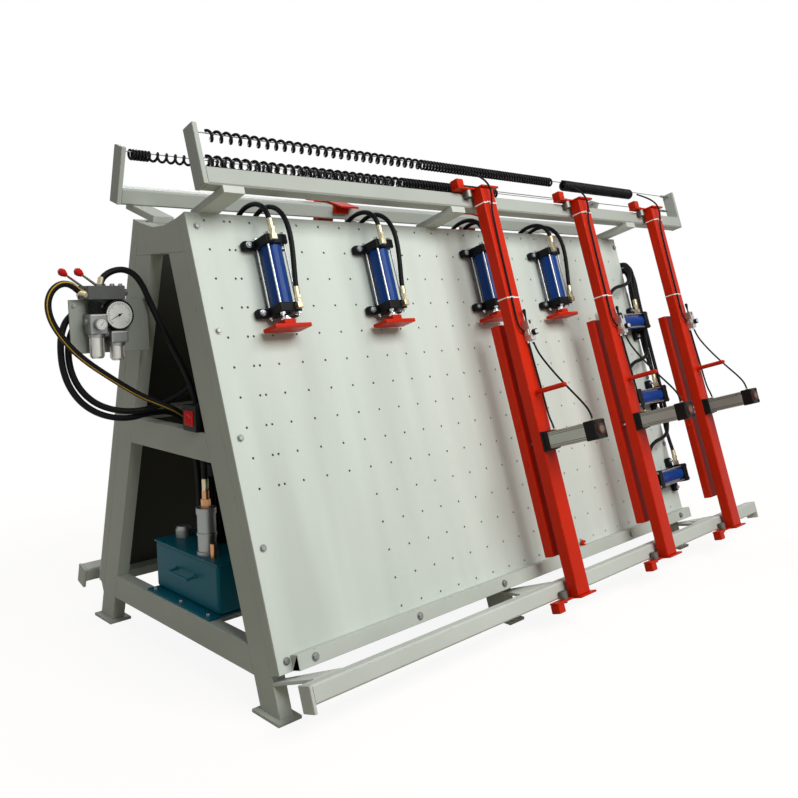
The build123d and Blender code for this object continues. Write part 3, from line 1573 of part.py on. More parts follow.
# Air hoses of the front posts, from the rope to the hand valve and on to the air cylinder
VALVE_FOOT = -VALVE_S - VALVE_H / 2
AIR_SIDE = -AIR_S + AIR_SIZE / 2
AIR_NEAR = POST_FACE + AIR_FLANGE_T + PORT_D
AIR_FAR = POST_FACE + AIR_FLANGE_T + AIR_LENGTH - PORT_D
POST_ROUTES = (
    [
        (-24, 186, 168),
        (-22, 164, 196),
        (-17, 134, 230),
        (-11, 96, 256),
        (-8, 52, 259),
        (-10, 10, 248),
        (-13, -30, 242),
        (-18, -420, 241),
        (-22, -458, 243),
        (-22, -494, 244),
        (-12, -522, 246),
        (VALVE_X - VALVE_W / 2, -530, 247),
    ],
    [
        (VALVE_X - 6, VALVE_FOOT, POST_FACE + 8),
        (19, -606, 244),
        (22, -650, 243),
        (26, -760, 245),
        (27, -830, 246),
        (22, -880, 252),
        (18, -908, 262),
        (16, AIR_SIDE, AIR_NEAR),
    ],
    [
        (VALVE_X + 6, VALVE_FOOT, POST_FACE + 22),
        (31, -606, 262),
        (35, -660, 284),
        (37, -730, 324),
        (35, -800, 372),
        (30, -858, 416),
        (24, -902, 444),
        (20, AIR_SIDE, AIR_FAR),
    ],
)
for i, place in enumerate(POST_PLACES):
    tubes = [
        hose(f"post {i + 1} hose {j + 1}", on_front(route, LEFT + place), AIR_HOSE_D)
        for j, route in enumerate(POST_ROUTES)
    ]
    finish(f"front_post_hoses_{i + 1}", *tubes)
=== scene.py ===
import math

import bmesh
import bpy
from mathutils import Matrix, Vector


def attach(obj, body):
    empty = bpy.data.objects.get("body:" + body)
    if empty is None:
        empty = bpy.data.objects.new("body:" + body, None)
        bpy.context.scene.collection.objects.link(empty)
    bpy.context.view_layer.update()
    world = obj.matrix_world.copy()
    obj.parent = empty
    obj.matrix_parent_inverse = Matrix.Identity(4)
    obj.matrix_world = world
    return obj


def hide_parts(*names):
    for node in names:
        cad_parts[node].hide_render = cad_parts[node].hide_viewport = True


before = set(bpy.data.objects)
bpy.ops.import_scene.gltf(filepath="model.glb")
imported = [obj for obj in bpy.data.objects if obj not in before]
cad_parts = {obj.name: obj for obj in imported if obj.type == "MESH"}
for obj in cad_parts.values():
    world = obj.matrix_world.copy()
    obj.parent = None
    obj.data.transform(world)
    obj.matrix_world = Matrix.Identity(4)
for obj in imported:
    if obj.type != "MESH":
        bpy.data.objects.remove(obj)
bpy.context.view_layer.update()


# Stand: two A-shaped end frames and a centre frame of rectangular steel tube, cut, welded and
# sprayed pale grey. They keep the shapes of the solids, with the rolled edges of the tube added.
def colour(code):
    """Linear colour from an sRGB hex value."""
    parts = [int(code[i : i + 2], 16) / 255 for i in (0, 2, 4)]
    return [c / 12.92 if c <= 0.04045 else ((c + 0.055) / 1.055) ** 2.4 for c in parts] + [1]


def every(size):
    """Scale of a pattern that repeats about every so many millimetres."""
    return 1000 / size


def dress(node, settings):
    """Sets a node's options and inputs, by name or number. A node as value links its first output."""
    for name, value in settings.items():
        if isinstance(value, bpy.types.Node):
            value = value.outputs[0]
        if isinstance(name, str) and name not in node.inputs:
            setattr(node, name, value)
        elif isinstance(value, bpy.types.NodeSocket):
            node.id_data.links.new(value, node.inputs[name])
        else:
            node.inputs[name].default_value = value
    return node


def add(tree, kind, settings):
    """New node with its settings and links."""
    return dress(tree.nodes.new("ShaderNode" + kind), settings)


def blank(name, metallic=0.0):
    """New material: itself, its node tree, its shader and the piece's own coordinates."""
    material = bpy.data.materials.new(name)
    material.use_nodes = True
    tree = material.node_tree
    shine = 0.5 if metallic else 0.1
    shader = dress(tree.nodes["Principled BSDF"], {"Metallic": metallic, "Specular IOR Level": shine})
    return material, tree, shader, add(tree, "TexCoord", {}).outputs["Object"]


def painted(name, code, roughness, wear=0.6):
    """Sprayed enamel: cloudy in tone and gloss, with orange peel and light scuffs along its edges."""
    material, tree, shader, place = blank(name)
    cloud = add(tree, "TexNoise", {"Scale": every(250), "Detail": 6.0, "Vector": place})
    tone = add(tree, "MapRange", {"To Min": 0.86, "To Max": 1.12, "Value": cloud})
    shade = add(tree, "HueSaturation", {"Color": colour(code), "Value": tone})
    dull = add(tree, "MapRange", {"To Min": roughness - 0.1, "To Max": roughness + 0.12, "Value": cloud})
    # Orange peel is really about 2 mm across, and is drawn at 6 mm so that it shows.
    peel = add(tree, "TexNoise", {"Scale": every(6), "Detail": 2.0, "Vector": place})
    bump = add(tree, "Bump", {"Strength": 0.1, "Distance": 0.001, "Height": peel})
    # Scuffs about 22 mm long let the undercoat through on the narrow faces that round an edge.
    scuff = add(tree, "TexNoise", {"Scale": every(22), "Detail": 4.0, "Vector": place})
    thin = add(tree, "MapRange", {"From Min": 0.57, "From Max": 0.68, "To Max": wear, "Value": scuff})
    rim = add(tree, "Attribute", {"attribute_name": "rim"}).outputs["Fac"]
    worn = add(tree, "Math", {"operation": "MULTIPLY", 0: rim, 1: thin})
    coat = add(tree, "Mix", {"data_type": "RGBA", "Factor": worn, 6: shade, 7: colour("8d8a83")})
    dress(shader, {"Base Color": coat.outputs[2], "Roughness": dull, "Normal": bump})
    return material


def join(whole, part):
    """Moves one shape into another."""
    mesh = bpy.data.meshes.new("part")
    part.to_mesh(mesh)
    whole.from_mesh(mesh)
    bpy.data.meshes.remove(mesh)
    part.free()


RIM_WIDTH = 0.004
SHARP_ANGLE = 0.6
scene = bpy.context.scene


def piece(name, body, slot, nodes, *parts, place=Matrix.Identity(4)):
    """One shown piece from shapes and their materials, riding on a body in place of CAD nodes."""
    whole = bmesh.new()
    mesh = bpy.data.meshes.new(name)
    for index, (part, material) in enumerate(parts):
        part.transform(place)
        part.normal_update()
        bmesh.ops.recalc_face_normals(part, faces=part.faces)
        for face in part.faces:
            face.material_index = index
            face.smooth = True
        join(whole, part)
        mesh.materials.append(material)
    rim = whole.faces.layers.float.new("rim")
    for face in whole.faces:
        face[rim] = face.calc_area() < RIM_WIDTH * max(edge.calc_length() for edge in face.edges)
    whole.to_mesh(mesh)
    whole.free()
    mesh.set_sharp_from_angle(angle=SHARP_ANGLE)
    thing = bpy.data.objects.new(name, mesh)
    thing.modifiers.new("flat faces", "WEIGHTED_NORMAL").keep_sharp = True
    scene.collection.objects.link(thing)
    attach(thing, body)
    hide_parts(*nodes)


def softened(node, width):
    """Copy of a CAD node with its sharp edges rounded, solid by solid, as on tube and cut plate."""
    merged, whole, done = bmesh.new(), bmesh.new(), set()
    merged.from_mesh(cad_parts[node].data)
    bmesh.ops.remove_doubles(merged, verts=merged.verts, dist=0.00001)
    merged.faces.index_update()
    for first in merged.faces:
        if first.index in done:
            continue
        solid, waiting = {first.index}, [first]
        while waiting:
            for edge in waiting.pop().edges:
                near = [f for f in edge.link_faces if f.index not in solid]
                if len(edge.link_faces) == 2 and near:
                    solid.update(f.index for f in near)
                    waiting += near
        done |= solid
        part = merged.copy()
        others = [f for f in part.faces if f.index not in solid]
        bmesh.ops.delete(part, geom=others, context="FACES")
        bmesh.ops.dissolve_limit(part, angle_limit=0.01, verts=part.verts, edges=part.edges)
        sharp = [e for e in part.edges if e.is_manifold and e.calc_face_angle() > 0.5]
        bmesh.ops.bevel(
            part, geom=sharp, offset=width / 1000, segments=2, profile=0.5, affect="EDGES", material=-1,
            clamp_overlap=True,
        )
        join(whole, part)
    merged.free()
    return whole


# Grey enamel: a plain, slightly green grey with a low sheen.
grey_paint = painted("grey enamel", "c2c8be", 0.46)
for node in ("left_end_frame", "right_end_frame", "inner_frame"):
    piece(node + "_shown", "frame", "stand_paint", [node], (softened(node, 2), grey_paint))


# Boards: 5 mm steel sheet drilled on a 100 mm grid for stops, slightly wavy, sprayed pale grey
# outside, with upright bands of painted reflection along the waves, and a dark inner sheet painted as
# the shade inside the stand. A strip lies over the left edge. Hex bolts with washers hold them.
# Places are millimetres along the machine (x), up from the top edge (s) and outwards (n).
FRONT, REAR = -1, 1
LEFT, RIGHT = -1350, 1200
LEAN = math.radians(17.6)
TOP_OUT, TOP_HEIGHT = 175, 1585
METRES = Matrix.Scale(0.001, 4)
BOARD_TALL, SHEET = 1500, 5
GRID, HOLE_RADIUS = 100, 4.5
BOLT_PITCH, LEDGE_PITCH = 354, 466


def slope(side):
    """From millimetres on a board to metres in the frame."""
    sin, cos = math.sin(LEAN), math.cos(LEAN)
    across = (0, -side * sin, side * cos, side * TOP_OUT)
    return METRES @ Matrix(((1, 0, 0, 0), across, (0, cos, sin, TOP_HEIGHT), (0, 0, 0, 1)))


def board_sheet():
    """Enamel on thin sheet: upright waves 150 mm wide in its bump, with bands painted along them as
    reflections, and a clear sheen.
    """
    material, tree, shader, place = blank("board enamel")
    stretch = add(tree, "Mapping", {"Scale": (every(150), every(1400), every(1400)), "Vector": place})
    wave_and_reflection = add(tree, "TexNoise", {"Scale": 1.0, "Detail": 2.0, "Vector": stretch})
    reflection_bands = {"From Min": 0.3, "From Max": 0.7, "To Min": 0.9, "To Max": 1.05}
    # Lighter and darker bands in the colour are painted reflections of the waves.
    tone = add(tree, "MapRange", {**reflection_bands, "Value": wave_and_reflection})
    shade = add(tree, "HueSaturation", {"Color": colour("d0d8cf"), "Value": tone})
    bump = add(tree, "Bump", {"Strength": 0.5, "Distance": 0.02, "Height": wave_and_reflection})
    dress(shader, {"Base Color": shade, "Roughness": 0.34, "Normal": bump})
    return material


def bare_metal(name, code, roughness):
    """Plated or drawn metal: fine streaks in tone and polish."""
    material, tree, shader, place = blank(name, 1.0)
    # The lines are really about 0.1 mm apart, and are drawn 1 mm apart so that they show.
    stretch = add(tree, "Mapping", {"Scale": (every(16), every(16), every(1)), "Vector": place})
    streak = add(tree, "TexNoise", {"Scale": 1.0, "Detail": 4.0, "Vector": stretch})
    tone = add(tree, "MapRange", {"To Min": 0.8, "To Max": 1.1, "Value": streak})
    shade = add(tree, "HueSaturation", {"Color": colour(code), "Value": tone})
    dull = add(tree, "MapRange", {"To Min": roughness - 0.06, "To Max": roughness + 0.14, "Value": streak})
    dress(shader, {"Base Color": shade, "Roughness": dull})
    return material


def block(part, low, high, edge, segments=2):
    """Box between two corners with its edges rounded over."""
    box = bmesh.new()
    bmesh.ops.create_cube(box, size=1)
    low, high = Vector(low), Vector(high)
    for vert in box.verts:
        vert.co = Vector((low[i] + (vert.co[i] + 0.5) * (high[i] - low[i]) for i in range(3)))
    bmesh.ops.bevel(
        box, geom=box.edges[:], offset=edge, segments=segments, profile=0.5, affect="EDGES", material=-1
    )
    join(part, box)


def new_shapes(count):
    """So many empty shapes."""
    return [bmesh.new() for _ in range(count)]


def drilled_board():
    """The sheet with its holes, which the lower left corner lacks, and a thin inner sheet that carries the
    painted shade of the stand's inside.
    """
    part, back = new_shapes(2)
    columns = [68, 144, 167] + list(range(245, 2500, GRID))
    spots = [(u, row) for u in columns for row in range(15) if row < 10 or u >= 545]
    centres = [(LEFT + u, -26 - GRID * row) for u, row in spots]
    loops = [[(LEFT, 0), (RIGHT, 0), (RIGHT, -BOARD_TALL), (LEFT, -BOARD_TALL)]]
    turns = [math.radians(36 * k) for k in range(10)]
    for x, s in centres:
        loops.append([(x + HOLE_RADIUS * math.cos(a), s + HOLE_RADIUS * math.sin(a)) for a in turns])
    edges = []
    for loop in loops:
        verts = [part.verts.new((x, s, 0)) for x, s in loop]
        edges += [part.edges.new(pair) for pair in zip(verts, verts[1:] + verts[:1])]
    bmesh.ops.triangle_fill(part, use_beauty=True, edges=edges, normal=(0, 0, 1))
    pushed = bmesh.ops.extrude_face_region(part, geom=part.faces[:])["geom"]
    pushed = [v for v in pushed if isinstance(v, bmesh.types.BMVert)]
    bmesh.ops.translate(part, vec=(0, 0, -SHEET), verts=pushed)
    block(part, (LEFT, -BOARD_TALL, 0), (LEFT + 58, 0, 2), 0.8, 1)
    # A thin dark sheet on the inner face, there for the painted shade inside the stand.
    block(back, (LEFT + 1, 1 - BOARD_TALL, -SHEET - 1), (RIGHT - 1, -1, -SHEET), 0.3, 1)
    return part, back


def aim(place, axis):
    """Stands a shape at a place with its own upright along the axis."""
    return Matrix.Translation(place) @ Vector(axis).to_track_quat("Z", "X").to_matrix().to_4x4()


def rod(part, start, end, radius, sides, tip=None):
    """Round bar between two points, or a cone where the tip has its own radius."""
    start, end = Vector(start), Vector(end)
    tip = radius if tip is None else tip
    bmesh.ops.create_cone(
        part, cap_ends=True, segments=sides, radius1=radius, radius2=tip, depth=(end - start).length,
        matrix=aim((start + end) / 2, end - start),
    )


def hex_bolt(part, place, axis, flats=19, height=8):
    """Hexagon head with turned top on a washer, standing on a face."""
    place, axis = Vector(place), Vector(axis)
    corner, shoulder = flats * 0.577, place + axis * (height - 1.5)
    rod(part, place, place + axis * 2, flats * 0.74, 28)
    rod(part, place + axis * 2, shoulder, corner, 6)
    rod(part, shoulder, place + axis * height, flats * 0.56, 6, flats * 0.46)


board_paint = board_sheet()
# Inside shade: matt dark grey painted on the inner sheet, standing in for the shade inside the stand.
inside_shade = painted("painted_inside_shade", "484841", 0.7)
# Zinc plate: mid grey metal with a dull shine.
zinc = bare_metal("zinc plate", "8e908d", 0.42)
for side, node in ((FRONT, "front_board"), (REAR, "rear_board")):
    face, back = drilled_board()
    shapes = (face, board_paint), (back, inside_shade)
    piece(node + "_sheet", "frame", "board_paint", [node], *shapes, place=slope(side))
    bolts = bmesh.new()
    for row in range(5):
        hex_bolt(bolts, (LEFT + 35, -48 - BOLT_PITCH * row, 2), (0, 0, 1), 17)
        if row < 4:
            hex_bolt(bolts, (RIGHT - 17.5, -48 - BOLT_PITCH * row, 0), (0, 0, 1), 17)
    for i in range(6):
        hex_bolt(bolts, (LEFT + 118 + LEDGE_PITCH * i, -1475, 40), (0, 0, 1))
    piece(node + "_bolts", "frame", "zinc_steel", ["board_bolts"], (bolts, zinc), place=slope(side))


# Ledge bars: square tube with closed ends, bolted along the foot of each board to carry the work.
# A small red stop of bent steel stands on the front one.
ledges, stop = softened("ledge_bars", 3), bmesh.new()
for side in (FRONT, REAR):
    caps = bmesh.new()
    for x in (LEFT + 52.5, RIGHT - 4):
        block(caps, (x, -1499, 1), (x + 3, -1451, 39), 0.6, 1)
    caps.transform(slope(side))
    join(ledges, caps)
rod(stop, (291, -1446, 12), (291, -1426, 12), 6, 20, 5)
block(stop, (276, -1441, 8), (306, -1431, 18), 2)
block(stop, (284, -1450, 0), (298, -1444, 22), 1.5)
stop.transform(slope(FRONT))
# Red enamel: strong warm red with a fair gloss and hardly any scuffs.
red_paint = painted("red enamel", "c62507", 0.36, 0.12)
piece("ledge_bars_shown", "frame", "board_paint", ["ledge_bars"], (ledges, grey_paint), (stop, red_paint))


# Rails: 60 mm square tube with welded end plates and uprights, on flat arms and brackets. They are
# sprayed like the stand; the upper pair is drawn darker, with the shade it lies in painted into its colour.
# Rail enamel: pale grey, smoother than the stand.
rail_paint = painted("rail enamel", "c9cec6", 0.42)
# Upper rail painted shade: the rail enamel darkened, standing in for the shade on the upper bars,
# which sets them off from the white behind.
upper_rail_shade = painted("upper_rail_painted_shade", "b1b6ae", 0.42)
for node, width, enamel in (
    ("front_bottom_rail", 3, rail_paint),
    ("rear_bottom_rail", 3, rail_paint),
    ("front_top_rail", 3, upper_rail_shade),
    ("rear_top_rail", 3, upper_rail_shade),
    ("rail_brackets", 2, rail_paint),
):
    piece(node + "_shown", "frame", "rail_paint", [node], (softened(node, width), enamel))


# Hydraulic cylinders: black cast heads with feet bolted to the board, a blue drawn barrel between
# them and four bright tie rods with nuts. Plated elbows screw into the heads. Built with u across,
# v along from the cap and w out of the board.
TOP_PLACES = (270, 765, 1370, 1840)
SIDE_PLACES = (470, 860, 1270)
AXIS, TIE = 56, 33
CAP, GLAND, HEAD = 0, 238, 34
TIE_STEPS = ((30, 242, 3.8, 16), (-7, 0.5, 9, 6), (271.5, 279, 9, 6), (279, 284, 4.6, 14))


def moulded(name, code, roughness):
    """Rubber, plastic or cast iron: dusty patches and a fine grain."""
    material, tree, shader, place = blank(name)
    dust = add(tree, "TexNoise", {"Scale": every(70), "Detail": 5.0, "Vector": place})
    tone = add(tree, "MapRange", {"To Min": 0.7, "To Max": 1.5, "Value": dust})
    shade = add(tree, "HueSaturation", {"Color": colour(code), "Value": tone})
    dull = add(tree, "MapRange", {"To Min": roughness - 0.12, "To Max": roughness + 0.15, "Value": dust})
    # The grain is really about 0.3 mm, and is drawn at 2.5 mm so that it shows.
    grain = add(tree, "TexNoise", {"Scale": every(2.5), "Vector": place})
    bump = add(tree, "Bump", {"Strength": 0.15, "Distance": 0.0008, "Height": grain})
    dress(shader, {"Base Color": shade, "Roughness": dull, "Normal": bump})
    return material


def on_top(place):
    """A cylinder that pushes down from the top edge, at a place along it."""
    return Matrix(((1, 0, 0, LEFT + place), (0, -1, 0, -100), (0, 0, 1, 0), (0, 0, 0, 1)))


def on_side(place):
    """A cylinder that pushes left from the right edge, at a place down it."""
    return Matrix(((0, -1, 0, RIGHT - 30), (1, 0, 0, -place), (0, 0, 1, 0), (0, 0, 0, 1)))


# Cast iron: black paint on a slightly rough casting.
black_iron = moulded("black cast iron", "131416", 0.42)
# Drawn steel: bright, a little soft in its shine.
tie_steel = bare_metal("drawn steel", "b2b6b8", 0.26)
# Blue gloss enamel: deep blue with sharp highlights.
blue_paint = painted("blue gloss enamel", "153f87", 0.2, 0.0)
# Yellow zinc: pale straw-coloured metal.
gold_zinc = bare_metal("yellow zinc", "bdb394", 0.34)
TOP_TURNS = [on_top(u) for u in TOP_PLACES]
SIDE_TURNS = [on_side(s) for s in SIDE_PLACES]
for side, word in ((FRONT, "front"), (REAR, "rear")):
    heads, ties, barrels, ports = new_shapes(4)
    for number, turn in enumerate(TOP_TURNS + SIDE_TURNS):
        iron, steel, drawn, elbows = new_shapes(4)
        for v in (CAP, GLAND):
            block(iron, (-44, v, 12), (44, v + HEAD, 100), 5, 3)
            for sign in (-1, 1):
                block(iron, (sign * 62 - 24, v + 1, 0.3), (sign * 62 + 24, v + HEAD - 1, 30), 9, 3)
                hex_bolt(steel, (sign * 68, v + HEAD / 2, 30), (0, 0, 1), 15, 9)
        for u in (-TIE, TIE):
            for w in (AXIS - TIE, AXIS + TIE):
                for v0, v1, radius, sides in TIE_STEPS:
                    rod(steel, (u, v0, w), (u, v1, w), radius, sides)
        rod(drawn, (0, 33.5, AXIS), (0, 238.5, AXIS), 36, 56)
        rod(iron, (0, 272, AXIS), (0, 277, AXIS), 24, 32, 22)
        for v, u in ((CAP + HEAD / 2, -22), (GLAND + HEAD / 2, 24)):
            if number < len(TOP_TURNS):
                block(elbows, (u - 11, v - 11, 99.5), (u + 11, v + 11, 122), 3)
                rod(elbows, (u, v - 10, 111), (u, v - 27, 111), 9.5, 6)
            else:
                block(elbows, (43.5, v - 11, AXIS - 11), (66, v + 11, AXIS + 11), 3)
                rod(elbows, (65, v, AXIS), (82, v, AXIS), 9.5, 6)
        for whole, part in ((heads, iron), (ties, steel), (barrels, drawn), (ports, elbows)):
            part.transform(slope(side) @ turn)
            join(whole, part)
    shapes = (heads, black_iron), (ties, tie_steel)
    piece(f"{word}_cylinder_heads", "frame", "black_iron", ["cylinder_heads"], *shapes)
    piece(f"{word}_cylinder_barrels", "frame", "blue_paint", ["cylinder_barrels"], (barrels, blue_paint))
    piece(f"{word}_cylinder_ports", "frame", "plated_steel", ["hose_fittings"], (ports, gold_zinc))


# Rams: chromed piston rod with a nut and a red pressing pad on a square stub, one to each cylinder.
# The pads are cut from plate, welded and sprayed.
# Chromed steel: bright mirror with thin streaks.
chrome = bare_metal("chromed steel", "d9dadb", 0.14)


def ram(side, turns):
    """The rods and pads of one or more cylinders."""
    steel, pad = new_shapes(2)
    for turn in turns:
        plunger, shoe = new_shapes(2)
        rod(plunger, (0, 68, AXIS), (0, 291, AXIS), 14, 40)
        block(shoe, (-23, 290, AXIS - 23), (23, 311, AXIS + 23), 3)
        block(shoe, (-75, 310, AXIS - 38), (75, 324, AXIS + 38), 2.5)
        rod(plunger, (0, 286, AXIS), (0, 290.5, AXIS), 19, 6)
        for whole, part in ((steel, plunger), (pad, shoe)):
            part.transform(slope(side) @ turn)
            join(whole, part)
    return (pad, red_paint), (steel, chrome)


for i, turn in enumerate(TOP_TURNS + SIDE_TURNS, 1):
    piece(f"ram_{i}", f"ram_front_{i}", "ram_red", [f"front_ram_{i}"], *ram(FRONT, [turn]))
piece("rams_rear_top_shown", "rams_rear_top", "ram_red", ["rear_top_rams"], *ram(REAR, TOP_TURNS))
piece("rams_rear_side_shown", "rams_rear_side", "ram_red", ["rear_side_rams"], *ram(REAR, SIDE_TURNS))


# Hydraulic hoses: black rubber over wire braid with crimped ends, from each cylinder over the
# edge of the board to the header pipe or to the distributor block on the right end. Top routes
# start from the cylinder's place along the board, side routes from the board's right edge.
TOP_CAP_ROUTE = [
    (-22, -90, 111), (-23, -52, 112), (-25, -16, 102), (-27, 12, 76), (-28, 28, 34),
    (-28, 30, -18), (-27, 14, -66), (-25, -26, -94), (-24, -64, -102), (-24, -100, -100),
]
TOP_ROD_ROUTE = [
    (24, -328, 111), (26, -285, 112), (31, -215, 121), (37, -140, 127), (41, -80, 122),
    (42, -32, 105), (42, 4, 74), (42, 26, 32), (42, 30, -18), (41, 14, -66),
    (40, -26, -94), (39, -64, -102), (38, -100, -100),
]
SIDE_ROUTES = (
    (396, [
        (-47, -388, 56), (-45, -342, 57), (-42, -290, 56), (-34, -242, 54), (-16, -200, 46),
        (4, -173, 23), (15, -165, -16), (15, -184, -52), (13, -222, -73), (12, -264, -75),
    ]),
    (655, [
        (-285, -388, 56), (-282, -345, 58), (-258, -308, 62), (-208, -286, 66), (-150, -280, 68),
        (-95, -268, 68), (-52, -236, 66), (-22, -188, 58), (2, -150, 36), (18, -134, -10),
        (20, -142, -62), (16, -180, -104), (13, -224, -117), (12, -264, -115),
    ]),
    (764, [
        (-47, -778, 56), (-44, -735, 54), (-34, -685, 42), (-22, -620, 28), (-13, -540, 24),
        (-12, -450, 26), (-12, -360, 24), (-11, -290, 27), (5, -225, 25), (28, -183, 5),
        (42, -169, -33), (46, -187, -66), (45, -226, -77), (44, -264, -75),
    ]),
    (1033, [
        (-285, -778, 56), (-282, -735, 58), (-258, -698, 62), (-208, -676, 66), (-140, -668, 68),
        (-80, -652, 64), (-38, -610, 54), (-15, -545, 46), (-12, -460, 46), (-12, -370, 46),
        (-11, -290, 51), (-2, -222, 58), (18, -166, 40), (38, -136, -10), (45, -144, -66),
        (45, -184, -108), (45, -226, -117), (44, -264, -115),
    ]),
    (1181, [
        (-47, -1188, 56), (-44, -1145, 54), (-32, -1095, 42), (-12, -1030, 28), (4, -950, 24),
        (9, -850, 26), (8, -740, 24), (9, -630, 26), (8, -520, 24), (9, -420, 26),
        (10, -330, 25), (18, -240, 25), (46, -183, 4), (66, -166, -35), (76, -187, -66),
        (77, -226, -77), (76, -264, -75),
    ]),
    (1443, [
        (-285, -1188, 56), (-282, -1145, 58), (-258, -1108, 62), (-208, -1086, 66),
        (-140, -1078, 68), (-76, -1062, 64), (-30, -1020, 54), (2, -955, 46), (9, -860, 46),
        (8, -750, 47), (9, -640, 46), (8, -530, 47), (10, -430, 46), (11, -330, 48),
        (19, -240, 49), (38, -168, 26), (60, -134, -24), (74, -146, -74), (77, -184, -108),
        (77, -226, -117), (76, -264, -115),
    ]),
)
HOSE = 18


def soft_line(name, points, diameter, node, body, material, steps=8):
    """One hose or cable on its route."""
    curve = bpy.data.curves.new(name, "CURVE")
    curve.dimensions = "3D"
    curve.bevel_depth = diameter / 2000
    curve.bevel_resolution = 3
    curve.resolution_u = steps
    curve.use_fill_caps = True
    spline = curve.splines.new("NURBS")
    spline.points.add(len(points) - 1)
    for point, place in zip(spline.points, points):
        point.co = (*place, 1)
    spline.order_u = 3
    spline.use_endpoint_u = True
    curve.materials.append(material)
    line = bpy.data.objects.new(name, curve)
    scene.collection.objects.link(line)
    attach(line, body)
    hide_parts(node)


def crimp(part, start, toward, radius=11, length=38):
    """Hose end: hexagon, collar and crimped sleeve along the hose."""
    start, axis = Vector(start), (Vector(toward) - Vector(start)).normalized()
    rod(part, start - axis * 3, start + axis * 8, radius * 1.05, 6)
    rod(part, start + axis * 7, start + axis * (length - 3), radius * 0.95, 24)
    rod(part, start + axis * (length - 3), start + axis * length, radius * 0.95, 24, radius * 0.8)
    for k in (0.45, 0.7):
        rod(part, start + axis * length * k, start + axis * (length * k + 3), radius, 24)


# Hose rubber: black with a soft, dusty sheen.
hose_rubber = moulded("hose rubber", "0f0f10", 0.45)
runs = []
for i, u in enumerate(TOP_PLACES, 1):
    runs.append((f"top_cap_hose_{i}", 381, LEFT + u, TOP_CAP_ROUTE))
    runs.append((f"top_rod_hose_{i}", 615, LEFT + u, TOP_ROD_ROUTE))
for i, (length, route) in enumerate(SIDE_ROUTES, 1):
    runs.append((f"side_hose_{i}", length, RIGHT, route))
crimps = bmesh.new()
for name, length, start, route in runs:
    local = [Vector((start + x, s, n)) for x, s, n in route]
    points = [slope(FRONT) @ p for p in local]
    soft_line(name, points, HOSE, "hydraulic_hoses", "frame", hose_rubber)
    crimp(crimps, local[0], local[1])
    crimp(crimps, local[-1], local[-2])
for x0, x1 in ((LEFT + 50, -225), (-175, RIGHT - 50)):
    block(crimps, (x0, -130, -115), (x1, -100, -85), 4)
piece("hose_crimps", "frame", "plated_steel", ["hose_fittings"], (crimps, gold_zinc), place=slope(FRONT))


# Distributor block: manifold sawn from bronze bar, bolted to the outside of the right end frame,
# with six hose nipples on its upper face and plugs on its front.
# Dark bronze: brown metal with a dull shine.
bronze = bare_metal("dark bronze", "6b5c44", 0.4)
manifold, plugs = new_shapes(2)
block(manifold, (RIGHT + 0.2, -410, -137), (RIGHT + 100, -280, -53), 4)
for x in (RIGHT + 12, RIGHT + 44, RIGHT + 76):
    for n in (-75, -115):
        rod(plugs, (x, -281, n), (x, -262, n), 11, 6)
    hex_bolt(plugs, (x + 6, -372, -53), (0, 0, 1), 17, 9)
shapes = (manifold, bronze), (plugs, gold_zinc)
piece("manifold", "frame", "block_steel", ["distributor_block"], *shapes, place=slope(FRONT))


# Clamping posts: red 80 by 50 mm tube with welded trolley plates over both rails, a steel guide
# roller and a slide pad at each end and a round handle. White cable ties hold the air hose.
FRONT_POSTS = (1275, 1965, 2620)
REAR_POSTS = (1020, 2000)
POSTS = [(FRONT, "front", i, LEFT + u) for i, u in enumerate(FRONT_POSTS, 1)]
POSTS += [(REAR, "rear", i, LEFT + u) for i, u in enumerate(REAR_POSTS, 1)]
POST_HALF, POST_FACE = 40, 235
ROLLER = 186.3
HANDLE = -775


def turned(part, x, y, *steps):
    """Round steps on one upright axis: from and to a height, radius, sides and the tip of a cone."""
    for low, high, *size in steps:
        rod(part, (x, y, low), (x, y, high), *size)


def post(x):
    """Tube, trolleys and handle in red, the steel of the rollers, and the ties."""
    pin = x - 68
    red, steel, ties = new_shapes(3)
    block(red, (x - POST_HALF, -1583, 185), (x + POST_HALF, 87, POST_FACE), 5, 3)
    for s, far, seat, out in ((87, 95, 95, 1), (-1591, -1625, -1591, -1)):
        block(red, (x - POST_HALF, s, 58), (x + 65, s + 8, 245), 1.5)
        block(red, (x - 140, s, ROLLER - 20), (x - 39, s + 8, ROLLER + 20), 1.5)
        block(red, (x - 140, far, ROLLER - 20), (x - 100, far + 34, ROLLER + 20), 4)
        rod(red, (x - 141, far + 17, ROLLER), (x - 138, far + 17, ROLLER), 13, 6)
        hex_bolt(steel, (pin, seat, ROLLER), (0, out, 0), 15, 9)
    for s in (57.3, -1582.7):
        rod(steel, (pin, s, ROLLER), (pin, s + 29.4, ROLLER), 18, 40)
        rod(steel, (pin, s + 5, ROLLER), (pin, s + 24, ROLLER), 18.2, 40)
    for s in (53, -1583):
        block(red, (x - POST_HALF, s, 91.7), (x + POST_HALF, s + 34, 107.7), 2)
    turned(red, x, HANDLE, (234, 376, 10, 32), (376, 383, 10, 32, 6), (234, 240, 14, 32, 11))
    for s in (22, -380):
        block(ties, (x - 41, s - 2.5, 184), (x + 41, s + 2.5, 236), 0.8)
        block(ties, (x - 24, s - 2.5, 234), (x - 6, s + 2.5, 246.5), 2)
        block(ties, (x - 27, s - 4, 235), (x - 20, s + 4, 241), 1)
    return (red, red_paint), (steel, roller_steel), (ties, tie_nylon)


# Turned steel: dark grey, with a low shine from oil.
roller_steel = bare_metal("turned steel", "6b6961", 0.36)
